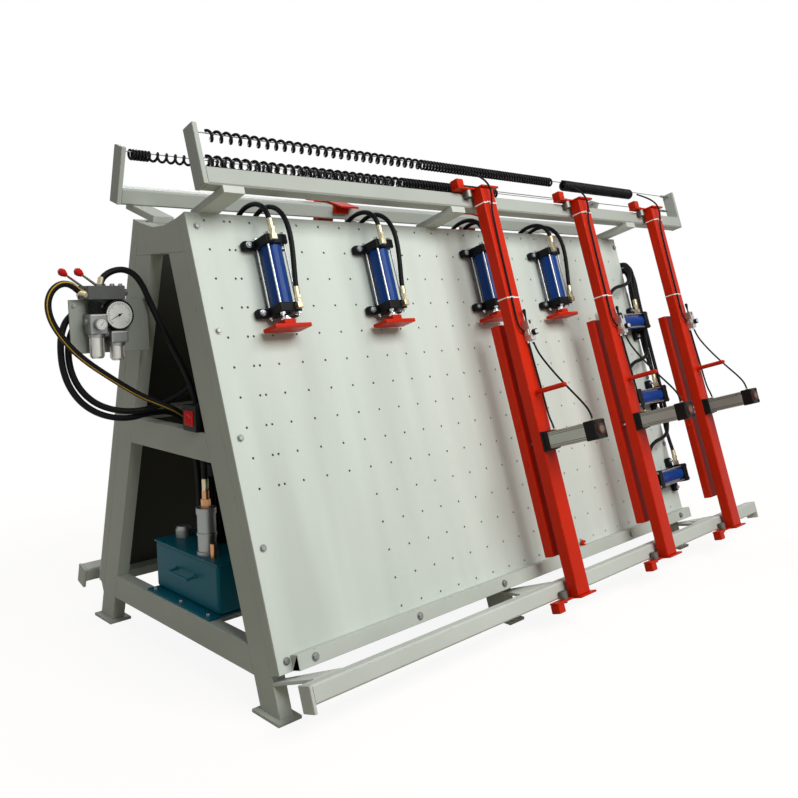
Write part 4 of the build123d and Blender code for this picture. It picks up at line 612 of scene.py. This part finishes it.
# Nylon: warm white with a soft sheen.
tie_nylon = moulded("white nylon", "e6e4de", 0.5)
for side, word, i, x in POSTS:
    name = f"post_{i}" if side == FRONT else f"rear_post_{i}_shown"
    piece(name, f"post_{word}_{i}", "post_red", [f"{word}_post_{i}"], *post(x), place=slope(side))


# Air cylinders: extruded aluminium barrel with fine grooves along it, drawn as thin strips of darker
# metal that paint the grooves' shade, screwed between a black flange and a black cap with a brown
# plug. Above it sits the hand valve of anodised aluminium, with a black end. The rear ones belong to
# the rear posts.
AIR_AXIS = -973
VALVE_ASIDE = 24
LEVER_OUT = 253


def air_cylinder(x):
    """Barrel, grooves in painted shade, black ends, plug with a disc of the same dark metal, and hose
    nipples, out along the post's face.
    """
    barrel, lines, black, plug, nipples = new_shapes(5)
    block(barrel, (x - 33, AIR_AXIS - 33, 262), (x + 33, AIR_AXIS + 33, 440), 6, 3)
    for turn in range(4):
        # Raised strips of darker metal paint the shade of the grooves.
        grooves = bmesh.new()
        for middle in (-26.5, -20, 20, 26.5):
            block(grooves, (middle - 1.5, 31, 263), (middle + 1.5, 33.3, 439), 0.4, 1)
        quarter = Matrix.Rotation(turn * math.pi / 2, 4, "Z")
        grooves.transform(Matrix.Translation((x, AIR_AXIS, 0)) @ quarter)
        join(lines, grooves)
    block(black, (x - 40, AIR_AXIS - 40, POST_FACE), (x + 40, AIR_AXIS + 40, 246), 2)
    for low, high in ((245, 264), (438, 488)):
        block(black, (x - 37.5, AIR_AXIS - 37.5, low), (x + 37.5, AIR_AXIS + 37.5, high), 4)
    turned(plug, x, AIR_AXIS, (487, 492.6, 22, 40, 20))
    turned(lines, x, AIR_AXIS, (492, 493, 13, 40, 12.5))
    for u in (-27, 27):
        for v in (-27, 27):
            turned(black, x + u, AIR_AXIS + v, (487, 490.5, 5, 6))
    for u, n in ((16, 267), (20, 448)):
        rod(nipples, (x + u, -936, n), (x + u, -929, n), 6, 6)
    return (barrel, barrel_alloy), (lines, groove_shade), (black, end_cap), (plug, cap_plug), (nipples, gold_zinc)


def hand_valve(middle):
    """Body with cheeks for the lever, bright nuts and ports, and the black end."""
    body, bright, end = new_shapes(3)
    block(body, (middle - 15, -567, POST_FACE), (middle + 15, -500, 271), 2.5)
    for side in (-15, 6.5):
        block(body, (middle + side, -503, 237), (middle + side + 8.5, -483, 269), 1.2)
    block(body, (middle - 20, -548, 240), (middle + 20, -520, 266), 3)
    turned(bright, middle, -538, (270, 275, 14, 28), (289.5, 294, 9.5, 28, 7))
    turned(end, middle, -538, (275, 290, 13, 28, 12))
    rod(bright, (middle + 19, -534, LEVER_OUT), (middle + 28, -534, LEVER_OUT), 7, 6)
    for dx, n in ((-6, 243), (6, 257)):
        rod(bright, (middle + dx, -566, n), (middle + dx, -575, n), 6, 6)
    rod(bright, (middle - 14, -530, 247), (middle - 22, -530, 247), 6, 6)
    return (body, alloy), (bright, chrome), (end, end_cap)


# Anodised aluminium: pale, silky metal.
alloy = bare_metal("anodised aluminium", "c2c1b9", 0.4)
# Extruded aluminium: greyer, with lines along the barrel.
barrel_alloy = bare_metal("extruded aluminium", "a9a8a1", 0.42)
# Groove shade: the same metal darker, painted as the shade in the grooves.
groove_shade = bare_metal("painted_groove_shade", "6d6a63", 0.5)
# End cap: black plastic with a warm cast.
end_cap = moulded("black end cap", "1b1716", 0.4)
# Plug: dull brown plastic ring.
cap_plug = moulded("brown plug", "5a2e1c", 0.45)
for side, word, i, x in POSTS:
    name, node = ("air_cylinder", "front_air_cylinder") if side == FRONT else ("rear_air", "rear_post")
    body, shapes = f"post_{word}_{i}", (*air_cylinder(x), *hand_valve(x + VALVE_ASIDE))
    piece(f"{name}_{i}", body, "air_cylinder", [f"{node}_{i}"], *shapes, place=slope(side))


# Hand levers: black plastic, a stem moulded in one with its grip, which turns on a cross pin between
# the cheeks of each hand valve.
LEVER_PIN = -492.5
LEVER_STEPS = ((LEVER_PIN, -462, 4.2, 20, 3.2), (-467, -443, 4, 24, 7.5), (-443, -436.5, 7.5, 24, 5))
# Lever plastic: plain black with a mild shine.
lever_plastic = moulded("black lever", "141414", 0.38)
for side, word, i, x in POSTS:
    lever, middle = bmesh.new(), x + VALVE_ASIDE
    rod(lever, (middle - 6, LEVER_PIN, LEVER_OUT), (middle + 6, LEVER_PIN, LEVER_OUT), 8, 32)
    for low, high, *size in LEVER_STEPS:
        rod(lever, (middle, low, LEVER_OUT), (middle, high, LEVER_OUT), *size)
    body, node = f"lever_{word}_{i}", f"{word}_hand_lever_{i}"
    piece(f"{word}_lever_{i}", body, "hand_lever", [node], (lever, lever_plastic), place=slope(side))


# Clamp bars: red 80 by 40 mm tube on the chromed piston rod of the air cylinder, which presses it
# on the work. The two bolts in its side are painted with it.
for side, word, i, x in POSTS:
    bar, steel = new_shapes(2)
    block(bar, (x - 40, -1424, 115), (x + 40, -472, 155), 4, 3)
    turned(steel, x, AIR_AXIS, (154, 353, 10, 32), (154.5, 164, 17, 6))
    for s in (-900, -1046):
        hex_bolt(bar, (x - 40, s, 135), (-1, 0, 0), 13, 8)
    body, node = f"clamp_{word}_{i}", f"{word}_clamp_bar_{i}"
    shapes = (bar, red_paint), (steel, chrome)
    piece(f"{word}_bar_{i}", body, "clamp_bar", [node], *shapes, place=slope(side))


# Air hoses of the front posts: black 8 mm rubber tube from the rope down the face of the post to
# the hand valve, and on to both ends of the air cylinder, pushed onto nipples.
POST_HOSE = 8
POST_ROUTES = (
    (769, [
        (-24, 186, 168), (-22, 164, 196), (-17, 134, 230), (-11, 96, 256), (-8, 52, 259),
        (-10, 10, 248), (-13, -30, 242), (-18, -420, 241), (-22, -458, 243), (-22, -494, 244),
        (-12, -522, 246), (9, -530, 247),
    ]),
    (372, [
        (18, -567, 243), (19, -606, 244), (22, -650, 243), (26, -760, 245), (27, -830, 246),
        (22, -880, 252), (18, -908, 262), (16, -935.5, 267),
    ]),
    (422, [
        (30, -567, 257), (31, -606, 262), (35, -660, 284), (37, -730, 324), (35, -800, 372),
        (30, -858, 416), (24, -902, 444), (20, -935.5, 448),
    ]),
)
for i, u in enumerate(FRONT_POSTS, 1):
    for j, (length, route) in enumerate(POST_ROUTES, 1):
        points = [slope(FRONT) @ Vector((LEFT + u + x, s, n)) for x, s, n in route]
        node, body = f"front_post_hoses_{i}", f"post_front_{i}"
        soft_line(f"post_{i}_hose_{j}", points, POST_HOSE, node, body, hose_rubber)


# Wire ropes above the rails: zinc-plated strand stretched between the uprights, with a turnbuckle
# and a nut at the right-hand one.
UPPER_ROPE, LOWER_ROPE = (211, 138), (139, 112)
ropes = bmesh.new()
for side, (s, n) in ((FRONT, UPPER_ROPE), (FRONT, LOWER_ROPE), (REAR, UPPER_ROPE)):
    rope = bmesh.new()
    rod(rope, (-1345, s, n), (1553, s, n), 2, 12)
    rod(rope, (1552, s, n), (1566, s, n), 4, 16, 7)
    rod(rope, (1566, s, n), (1606, s, n), 7, 6)
    rod(rope, (1606, s, n), (1632, s, n), 5, 16)
    rope.transform(slope(side))
    join(ropes, rope)
piece("wire_ropes", "frame", "zinc_steel", ["hose_ropes"], (ropes, zinc))


# Spiral hoses: black polyurethane tube wound round the ropes, stretched near the left upright and
# drawn tight towards the posts, with a thicker bunched coil near the right-hand end.
SPIRAL_TUBE = 10
STEPS_A_TURN = 12


def coil(side, name, s, n, radius, start, *stretches):
    """One wound tube: stretches give the turns and pitch one after another from the left."""
    x, angle, turns = start, 0.0, []
    for count, pitch in stretches:
        for _ in range(count * STEPS_A_TURN):
            turns.append((x, angle))
            x += pitch / STEPS_A_TURN
            angle += math.tau / STEPS_A_TURN
    turns.append((x, angle))
    local = [Vector((x, s + radius * math.cos(a), n + radius * math.sin(a))) for x, a in turns]
    points = [slope(side) @ p for p in local]
    soft_line(name, points, SPIRAL_TUBE, "spiral_hoses", "frame", spiral_plastic, 2)


# Polyurethane: black and smooth, with clear highlights on each turn.
spiral_plastic = moulded("spiral hose", "101012", 0.32)
coil(FRONT, "upper_spiral", 203.5, 138, 16, -1300, (27, 36), (48, 18))
coil(FRONT, "lower_spiral", 129.5, 112, 16, -1300, (24, 36), (36, 16))
coil(FRONT, "bunched_spiral", 196.5, 138, 21, LEFT + 1979, (54, 11))
coil(REAR, "rear_spiral", 201.5, 138, 16, -1316, (6, 12), (20, 36), (28, 18))


# Control plate: sheet steel fixed to the left end frame with two screws, sprayed grey. It carries the
# valve, gauge and air service unit. From here on places are millimetres in the frame.
PLATE_FACE = 100
plate, screws = softened("control_plate", 1.2), bmesh.new()
for z in (1286, 1146):
    hex_bolt(screws, (-1614, PLATE_FACE, z), (0, -1, 0), 11, 6)
screws.transform(METRES)
# Plate enamel: a darker grey than the stand, with the shade the plate lies in painted into its colour.
plate_shade_paint = painted("plate_enamel_painted_shade", "999e96", 0.46)
piece("control_plate_shown", "frame", "grey_paint", ["control_plate"], (plate, plate_shade_paint), (screws, zinc))


# Directional valve: two cast spool sections bolted together on the plate's top edge, with plugs
# and hose nipples of plated steel.
# Valve casting: mid grey iron with a slightly rough skin.
valve_iron = moulded("valve casting", "5c5e5d", 0.42)
casting, studs = softened("directional_valve", 2.5), bmesh.new()
for x, y in ((-1490, 70), (-1462, 70), (-1490, 136), (-1462, 136), (-1476, 103)):
    hex_bolt(studs, (x, y, 1351), (0, 0, 1), 11, 7)
for y in (81, 125):
    rod(studs, (-1450, y, 1328), (-1436, y, 1328), 14, 28, 12)
rod(studs, (-1580, 74, 1323), (-1586, 74, 1324), 12, 6)
rod(studs, (-1580, 128, 1321), (-1587, 128, 1321), 9, 6)
rod(studs, (-1518, 103, 1350), (-1518, 103, 1357), 13, 6)
for x in (-1565, -1540):
    rod(studs, (x, 127, 1306), (x, 127, 1299), 12.2, 6)
studs.transform(METRES)
piece("valve_block", "frame", "valve_iron", ["directional_valve"], (casting, valve_iron), (studs, zinc))


# Spool levers: two turned steel stems, each on a cross pin in the valve, with a knob lacquered red
# and screwed to its end.
LEVER_LEAN = math.radians(54)
# Knob lacquer: bright red and glossy.
knob_red = painted("red knob", "d01f16", 0.25, 0.0)
for i, x, y in ((1, -1525, 81), (2, -1560, 125)):
    arm, knob = new_shapes(2)
    hub = Vector((x, y, 1341))
    lean = Vector((-math.sin(LEVER_LEAN), 0, math.cos(LEVER_LEAN)))
    rod(arm, hub - Vector((0, 5, 0)), hub + Vector((0, 5, 0)), 10, 32)
    rod(arm, hub, hub + lean * 79, 4.6, 20, 3.8)
    for low, high, *size in ((76, 88, 7, 28, 13), (88, 97, 13, 28, 13.6), (97, 105, 13.6, 28, 7)):
        rod(knob, hub + lean * low, hub + lean * high, *size)
    shapes = (arm, roller_steel), (knob, knob_red)
    body, node = f"spool_lever_{i}", f"valve_lever_{i}"
    piece(f"{body}_shown", body, "lever_red", [node], *shapes, place=METRES)


# Pressure gauge: pressed steel case and bezel, both black, set on the plate, with a pale printed dial
# that has scale marks and a needle.
GAUGE = Vector((-1471, 0, 1252.5))
BEZEL_FACE = 68.5


def upright(depth, turn=0):
    """Place on the dial: its plane stood up at a depth, turned by so many degrees."""
    return (
        Matrix.Translation(GAUGE + Vector((0, depth, 0)))
        @ Matrix.Rotation(math.radians(turn), 4, "Y")
        @ Matrix.Rotation(math.pi / 2, 4, "X")
    )


case, bezel, dial, marks, needle = new_shapes(5)
rod(case, GAUGE + Vector((0, PLATE_FACE, 0)), GAUGE + Vector((0, 68, 0)), 51.9, 64)
rolled = Matrix.Translation((48.6, 0, 0)) @ Matrix.Rotation(math.pi / 2, 4, "X")
bmesh.ops.create_circle(bezel, segments=10, radius=3.2, matrix=rolled)
bmesh.ops.spin(
    bezel, geom=bezel.verts[:] + bezel.edges[:], axis=(0, 0, 1), cent=(0, 0, 0), angle=math.tau,
    steps=64, use_merge=True,
)
bezel.transform(upright(BEZEL_FACE))
rod(dial, GAUGE + Vector((0, BEZEL_FACE, 0)), GAUGE + Vector((0, 67.4, 0)), 46.5, 64)
for k in range(31):
    mark = bmesh.new()
    block(mark, (-0.6, 36 if k % 5 else 32, -0.4), (0.6, 43, 0.4), 0.2, 1)
    mark.transform(upright(67.2, 135 - 9 * k))
    join(marks, mark)
rod(needle, (0, -10, 0.6), (0, 34, 0.6), 1.6, 8, 0.5)
rod(needle, (0, 0, -0.4), (0, 0, 1.4), 4.5, 20)
needle.transform(upright(66.8, -118))
join(marks, needle)
# Dial: off-white lacquer with a low sheen.
dial_white = moulded("dial face", "d9dad6", 0.5)
shapes = (case, black_iron), (bezel, lever_plastic), (dial, dial_white), (marks, lever_plastic)
piece("gauge", "frame", "gauge_steel", ["pressure_gauge"], *shapes, place=METRES)


# Air service unit: die-cast filter regulator and oiler with ribbed metal bowls, screwed to the
# plate, with a small gauge in front.
UNIT_AXIS = 70
FILTER = -1555
SMALL_GAUGE = 1224
service, bowls, face, marks = new_shapes(4)
for x, top, tall, bowl in ((FILTER, 1258, 68, 80), (-1485, 1200, 40, 60)):
    foot = top - tall
    block(service, (x - 30, UNIT_AXIS - 30, foot), (x + 30, UNIT_AXIS + 30, top), 5, 3)
    low = foot - bowl
    turned(service, x, UNIT_AXIS, (foot - 9, foot + 1, 28, 40))
    turned(bowls, x, UNIT_AXIS, (low + 8, foot - 6, 24, 48), (low, low + 8, 18, 48, 24))
    for k in range(8):
        a = k * math.tau / 8
        turned(bowls, x + 23 * math.cos(a), UNIT_AXIS + 23 * math.sin(a), (low + 10, foot - 12, 2.2, 8))
rod(service, (-1526, UNIT_AXIS, 1190), (-1514, UNIT_AXIS, 1190), 9, 6)
rod(service, (-1592, UNIT_AXIS, 1232), (-1584, UNIT_AXIS, 1232), 10, 6)
gauge_steps = (service, 41, 36, 7, 6), (service, 38, 23, 20, 40), (face, 23.5, 22.2, 17, 40)
for part, back, front, *size in gauge_steps:
    rod(part, (FILTER, back, SMALL_GAUGE), (FILTER, front, SMALL_GAUGE), *size)
for k in range(11):
    a = math.radians(225 - 27 * k)
    way = Vector((math.cos(a), 0, math.sin(a)))
    middle = Vector((FILTER, 22.1, SMALL_GAUGE))
    rod(marks, middle + way * 12, middle + way * 16, 0.5, 6)
rod(marks, (FILTER - 5, 22.1, SMALL_GAUGE - 5), (FILTER + 10, 22.1, SMALL_GAUGE + 10), 0.8, 6, 0.3)
shapes = (service, zinc), (bowls, alloy), (face, dial_white), (marks, lever_plastic)
piece("air_unit", "frame", "service_body", ["air_service_unit"], *shapes, place=METRES)


# Regulator knob: black moulded cap with 24 ribs, turning on top of the filter regulator to set the
# pressure.
knob = bmesh.new()
turned(knob, FILTER, UNIT_AXIS, (1258.5, 1296, 20.5, 40), (1296, 1298, 20.5, 40, 18))
for k in range(24):
    a = k * math.tau / 24
    turned(knob, FILTER + 20.2 * math.cos(a), UNIT_AXIS + 20.2 * math.sin(a), (1268, 1295, 1.6, 8))
piece("regulator_shown", "regulator", "black_knob", ["regulator_knob"], (knob, lever_plastic), place=METRES)


# Mains switch: black moulded box on the middle crossbar, with a red surround clipped to its front
# and a red rocker in that.
SWITCH_OUT, SWITCH_IN = -1367, -1363.5
case, surround = softened("switch_box", 3), bmesh.new()
for y0, z0, y1, z1 in (
    (-203, 885, -191, 935), (-163, 885, -151, 935), (-192, 885, -162, 892), (-192, 928, -162, 935),
):
    block(surround, (SWITCH_OUT, y0, z0), (SWITCH_IN, y1, z1), 1.2)
surround.transform(METRES)
# Switch red: plain bright plastic.
switch_red = moulded("red switch", "d8160f", 0.35)
piece("switch_case", "frame", "switch_black", ["switch_box"], (case, lever_plastic), (surround, switch_red))
piece("rocker_shown", "rocker", "switch_red", ["switch_rocker"], (softened("switch_rocker", 1), switch_red))


# Oil tank: folded and welded sheet steel in teal, on a bolted flange, with a round bail. A plated
# filler cap and return column and some copper fittings stand on its lid.
LID = 399
RETURN = (-1254, -76)
tank, bright, copper, bail = new_shapes(4)
block(tank, (-1340, -214, 208.2), (-950, 226, 216), 1.5)
block(tank, (-1300, -214, 215), (-950, 226, 398), 14, 4)
block(tank, (-1303, -217, 392), (-947, 229, 400), 2.5)
for y in (-180, 6, 192):
    hex_bolt(bright, (-1322, y, 216), (0, 0, 1), 13, 8)
turned(bright, -1202, 182, (LID, 430, 31, 48), (430, 442, 31, 48, 24))
for low, high, radius in ((LID, 412, 38), (412, 470, 33), (470, 480, 36), (480, 548, 33), (548, 570, 36)):
    turned(bright, *RETURN, (low, high, radius, 48))
turned(copper, *RETURN, (569, 600, 17, 6), (599, 631, 13, 24))
for x, y in ((-1210, -10), (-1212, 38)):
    turned(copper, x, y, (LID, 418, 12, 6))
turned(copper, -1268, -138, (LID, 452, 11, 24))
for y in (-59, 71):
    rod(bail, (-1300, y, 321), (-1329, y, 316), 5, 16)
    rod(bail, (-1303, y, 321), (-1299, y, 321), 9, 20)
rod(bail, (-1329, -60, 316), (-1329, 72, 316), 5, 16)
# Teal enamel: dark blue-green with a fair gloss.
teal_paint = painted("teal enamel", "0d6a7e", 0.36)
# Copper: warm, slightly tarnished shine.
copper_tone = bare_metal("copper fitting", "b98a63", 0.3)
shapes = (tank, teal_paint), (bail, teal_paint), (bright, zinc), (copper, copper_tone)
piece("tank", "frame", "teal_paint", ["oil_tank"], *shapes, place=METRES)


# Pump motor: cast body with 36 cooling fins under a pressed fan cover, painted black, standing on
# its flange on the tank's lid.
MOTOR = (-1080, 66)
FINS = 36
motor = bmesh.new()
turned(motor, *MOTOR, (400.2, 418, 104, 64), (418, 648, 76, 64))
turned(motor, *MOTOR, (648, 692, 87, 64), (692, 700, 87, 64, 78))
for k in range(FINS):
    fin = bmesh.new()
    block(fin, (70, -1.5, 424), (87, 1.5, 646), 0.8, 1)
    fin.transform(Matrix.Translation((*MOTOR, 0)) @ Matrix.Rotation(k * math.tau / FINS, 4, "Z"))
    join(motor, fin)
piece("motor", "frame", "motor_body", ["pump_motor"], (motor, black_iron), place=METRES)


# Hoses and cable of the left end: rubber pressure and return hoses of the valve, the feed to the
# header pipe, and the motor's cable from the switch. Routes start from the left end of the boards.
LEFT_ROUTES = (
    ("valve_hose_1", 22, 1287, [
        (-230, 74, 1323), (-250, 74, 1329), (-278, 72, 1354), (-310, 70, 1359), (-339, 70, 1342),
        (-356, 72, 1311), (-358, 75, 1274), (-346, 78, 1232), (-318, 80, 1186), (-278, 81, 1136),
        (-226, 82, 1090), (-166, 82, 1046), (-108, 76, 1004), (-52, 62, 966), (4, 40, 938),
        (56, 10, 908), (100, -6, 862), (124, -10, 796), (136, -11, 716), (139, -11, 560),
        (140, -10, 416),
    ]),
    ("valve_hose_2", 22, 959, [
        (-168, 103, 1351), (-163, 103, 1370), (-146, 103, 1389), (-118, 102, 1403),
        (-82, 100, 1407), (-48, 96, 1392), (-22, 90, 1356), (0, 80, 1292), (18, 58, 1228),
        (40, 36, 1164), (62, 14, 1098), (80, -12, 1036), (92, -38, 960), (98, -58, 870),
        (98, -72, 780), (96, -77, 700), (96, -76, 630),
    ]),
    ("valve_hose_3", 22, 1240, [
        (-215, 127, 1305), (-219, 127, 1288), (-233, 128, 1272), (-256, 130, 1258),
        (-281, 131, 1234), (-298, 131, 1192), (-304, 129, 1140), (-302, 127, 1080),
        (-286, 124, 1018), (-252, 120, 962), (-204, 115, 922), (-146, 110, 898), (-84, 106, 890),
        (-27, 110, 898), (21, 108, 902), (70, 96, 898), (108, 76, 874), (126, 58, 820),
        (134, 46, 740), (138, 40, 640), (138, 38, 520), (138, 38, 416),
    ]),
    ("valve_hose_4", 22, 1246, [
        (-190, 127, 1305), (-191, 127, 1286), (-202, 128, 1266), (-224, 129, 1247),
        (-248, 131, 1222), (-269, 131, 1186), (-279, 129, 1140), (-278, 127, 1084),
        (-263, 124, 1030), (-233, 120, 982), (-191, 114, 946), (-138, 106, 924), (-80, 98, 914),
        (-20, 88, 918), (36, 70, 936), (84, 36, 968), (122, -12, 1018), (140, -70, 1090),
        (148, -112, 1180), (151, -132, 1290), (151, -127.0, 1394.8), (151, -119.0, 1430.8),
    ]),
    ("motor_cable", 9, 367, [
        (20, -135.04, 890), (22, -112, 889), (44, -96, 884), (84, -92, 862), (130, -86, 826),
        (172, -64, 792), (206, -30, 766), (226, 8, 744), (230, 30, 722), (230, 36, 700),
    ]),
)


def lined_rubber():
    """Hose rubber with a 4 mm yellow line along two sides, placed by the way round the tube."""
    material = moulded("lined hose rubber", "0f0f10", 0.45)
    tree = material.node_tree
    shader = tree.nodes["Principled BSDF"]
    plain = shader.inputs["Base Color"].links[0].from_socket
    unrolled = add(tree, "TexCoord", {}).outputs["UV"]
    round_tube = add(tree, "SeparateXYZ", {"Vector": unrolled}).outputs["Y"]
    away = add(tree, "Math", {"operation": "PINGPONG", 0: round_tube, 1: 0.25})
    line = add(tree, "Math", {"operation": "LESS_THAN", 0: away, 1: 0.03})
    striped = add(tree, "Mix", {"data_type": "RGBA", "Factor": line, 6: plain, 7: colour("c9a22c")})
    dress(shader, {"Base Color": striped.outputs[2]})
    return material


striped_rubber = lined_rubber()
ends = bmesh.new()
for name, diameter, length, route in LEFT_ROUTES:
    local = [Vector((LEFT + x, y, z)) for x, y, z in route]
    rubber = striped_rubber if name == "valve_hose_1" else hose_rubber
    soft_line(name, [p / 1000 for p in local], diameter, "hydraulic_hoses", "frame", rubber)
    if name != "motor_cable":
        crimp(ends, local[0], local[1], 12, 30)
        crimp(ends, local[-1], local[-2], 12.5, 44)
piece("left_crimps", "frame", "plated_steel", ["hose_fittings"], (ends, gold_zinc), place=METRES)


# Studio: pale floor and white surround, one large soft light above the front and a weaker one
# behind. Camera and mirror rays see white; other rays meet the floor's plain tone and a dim world.
FLOOR_NEAR, FLOOR_FAR = 2.0, 5.0


def seen_directly(tree):
    """1 for the rays of the camera, of mirrors and of glass, and 0 for the rest."""
    path = add(tree, "LightPath", {}).outputs
    shiny = add(tree, "Math", {"operation": "MAXIMUM", 0: path["Is Camera Ray"], 1: path["Is Glossy Ray"]})
    return add(tree, "Math", {"operation": "MAXIMUM", 0: shiny, 1: path["Is Transmission Ray"]})


def shadow_floor():
    """Matt floor that turns white away from the object and keeps its soft shadow near it."""
    material, tree, shader, place = blank("white floor")
    dress(shader, {"Base Color": colour("a59d8b"), "Roughness": 0.9})
    away = add(tree, "VectorMath", {"operation": "LENGTH", 0: place}).outputs["Value"]
    reach = {"From Min": FLOOR_NEAR, "From Max": FLOOR_FAR, "Value": away}
    level = add(tree, "MapRange", {**reach, "To Min": 1.3, "To Max": 1.0})
    glow = add(tree, "Emission", {"Color": colour("ffffff"), "Strength": level})
    cover = add(tree, "MapRange", {**reach, "To Min": 0.7, "To Max": 1.0})
    share = add(tree, "Math", {"operation": "MULTIPLY", 0: cover, 1: seen_directly(tree)})
    blend = add(tree, "MixShader", {"Fac": share, 1: shader, 2: glow})
    dress(tree.nodes["Material Output"], {"Surface": blend})
    return material


sheet = bmesh.new()
bmesh.ops.create_grid(sheet, x_segments=2, y_segments=2, size=30)
mesh = bpy.data.meshes.new("floor")
sheet.to_mesh(mesh)
sheet.free()
mesh.materials.append(shadow_floor())
ground = bpy.data.objects.new("floor", mesh)
scene.collection.objects.link(ground)

world = bpy.data.worlds.new("studio")
world.use_nodes = True
scene.world = world
tree = world.node_tree
level = add(tree, "MapRange", {"To Min": 0.23, "To Max": 1.0, "Value": seen_directly(tree)})
dress(tree.nodes["Background"], {"Color": colour("ffffff"), "Strength": level})

for name, place, target, wide, tall, power in (
    ("key", (-0.3, -3.7, 4.0), (-0.4, -0.4, 0.8), 4.0, 2.0, 205),
    ("rear fill", (0.8, 4.2, 3.4), (0.0, 0.4, 0.8), 3.0, 2.0, 80),
):
    lamp = bpy.data.lights.new(name, "AREA")
    lamp.shape = "RECTANGLE"
    lamp.size, lamp.size_y, lamp.energy = wide, tall, power
    light = bpy.data.objects.new(name, lamp)
    aimed = (Vector(target) - Vector(place)).to_track_quat("-Z", "Y").to_matrix().to_4x4()
    light.matrix_world = Matrix.Translation(place) @ aimed
    scene.collection.objects.link(light)


# Camera: at the photograph's viewing angle and frame. Place, turn and focal length were fitted to
# the corners, rails and holes of the board.
optics = bpy.data.cameras.new("camera")
optics.sensor_width = 36
optics.lens = 37.916
camera = bpy.data.objects.new("camera", optics)
camera.matrix_world = (
    Matrix.Translation((-2.7736, -2.6540, 1.3215))
    @ Matrix.Rotation(-0.7650, 4, "Z")
    @ Matrix.Rotation(math.pi / 2 - 0.12713, 4, "X")
    @ Matrix.Rotation(-0.0101, 4, "Z")
)
scene.collection.objects.link(camera)
scene.camera = camera
scene.view_settings.view_transform = "Standard"
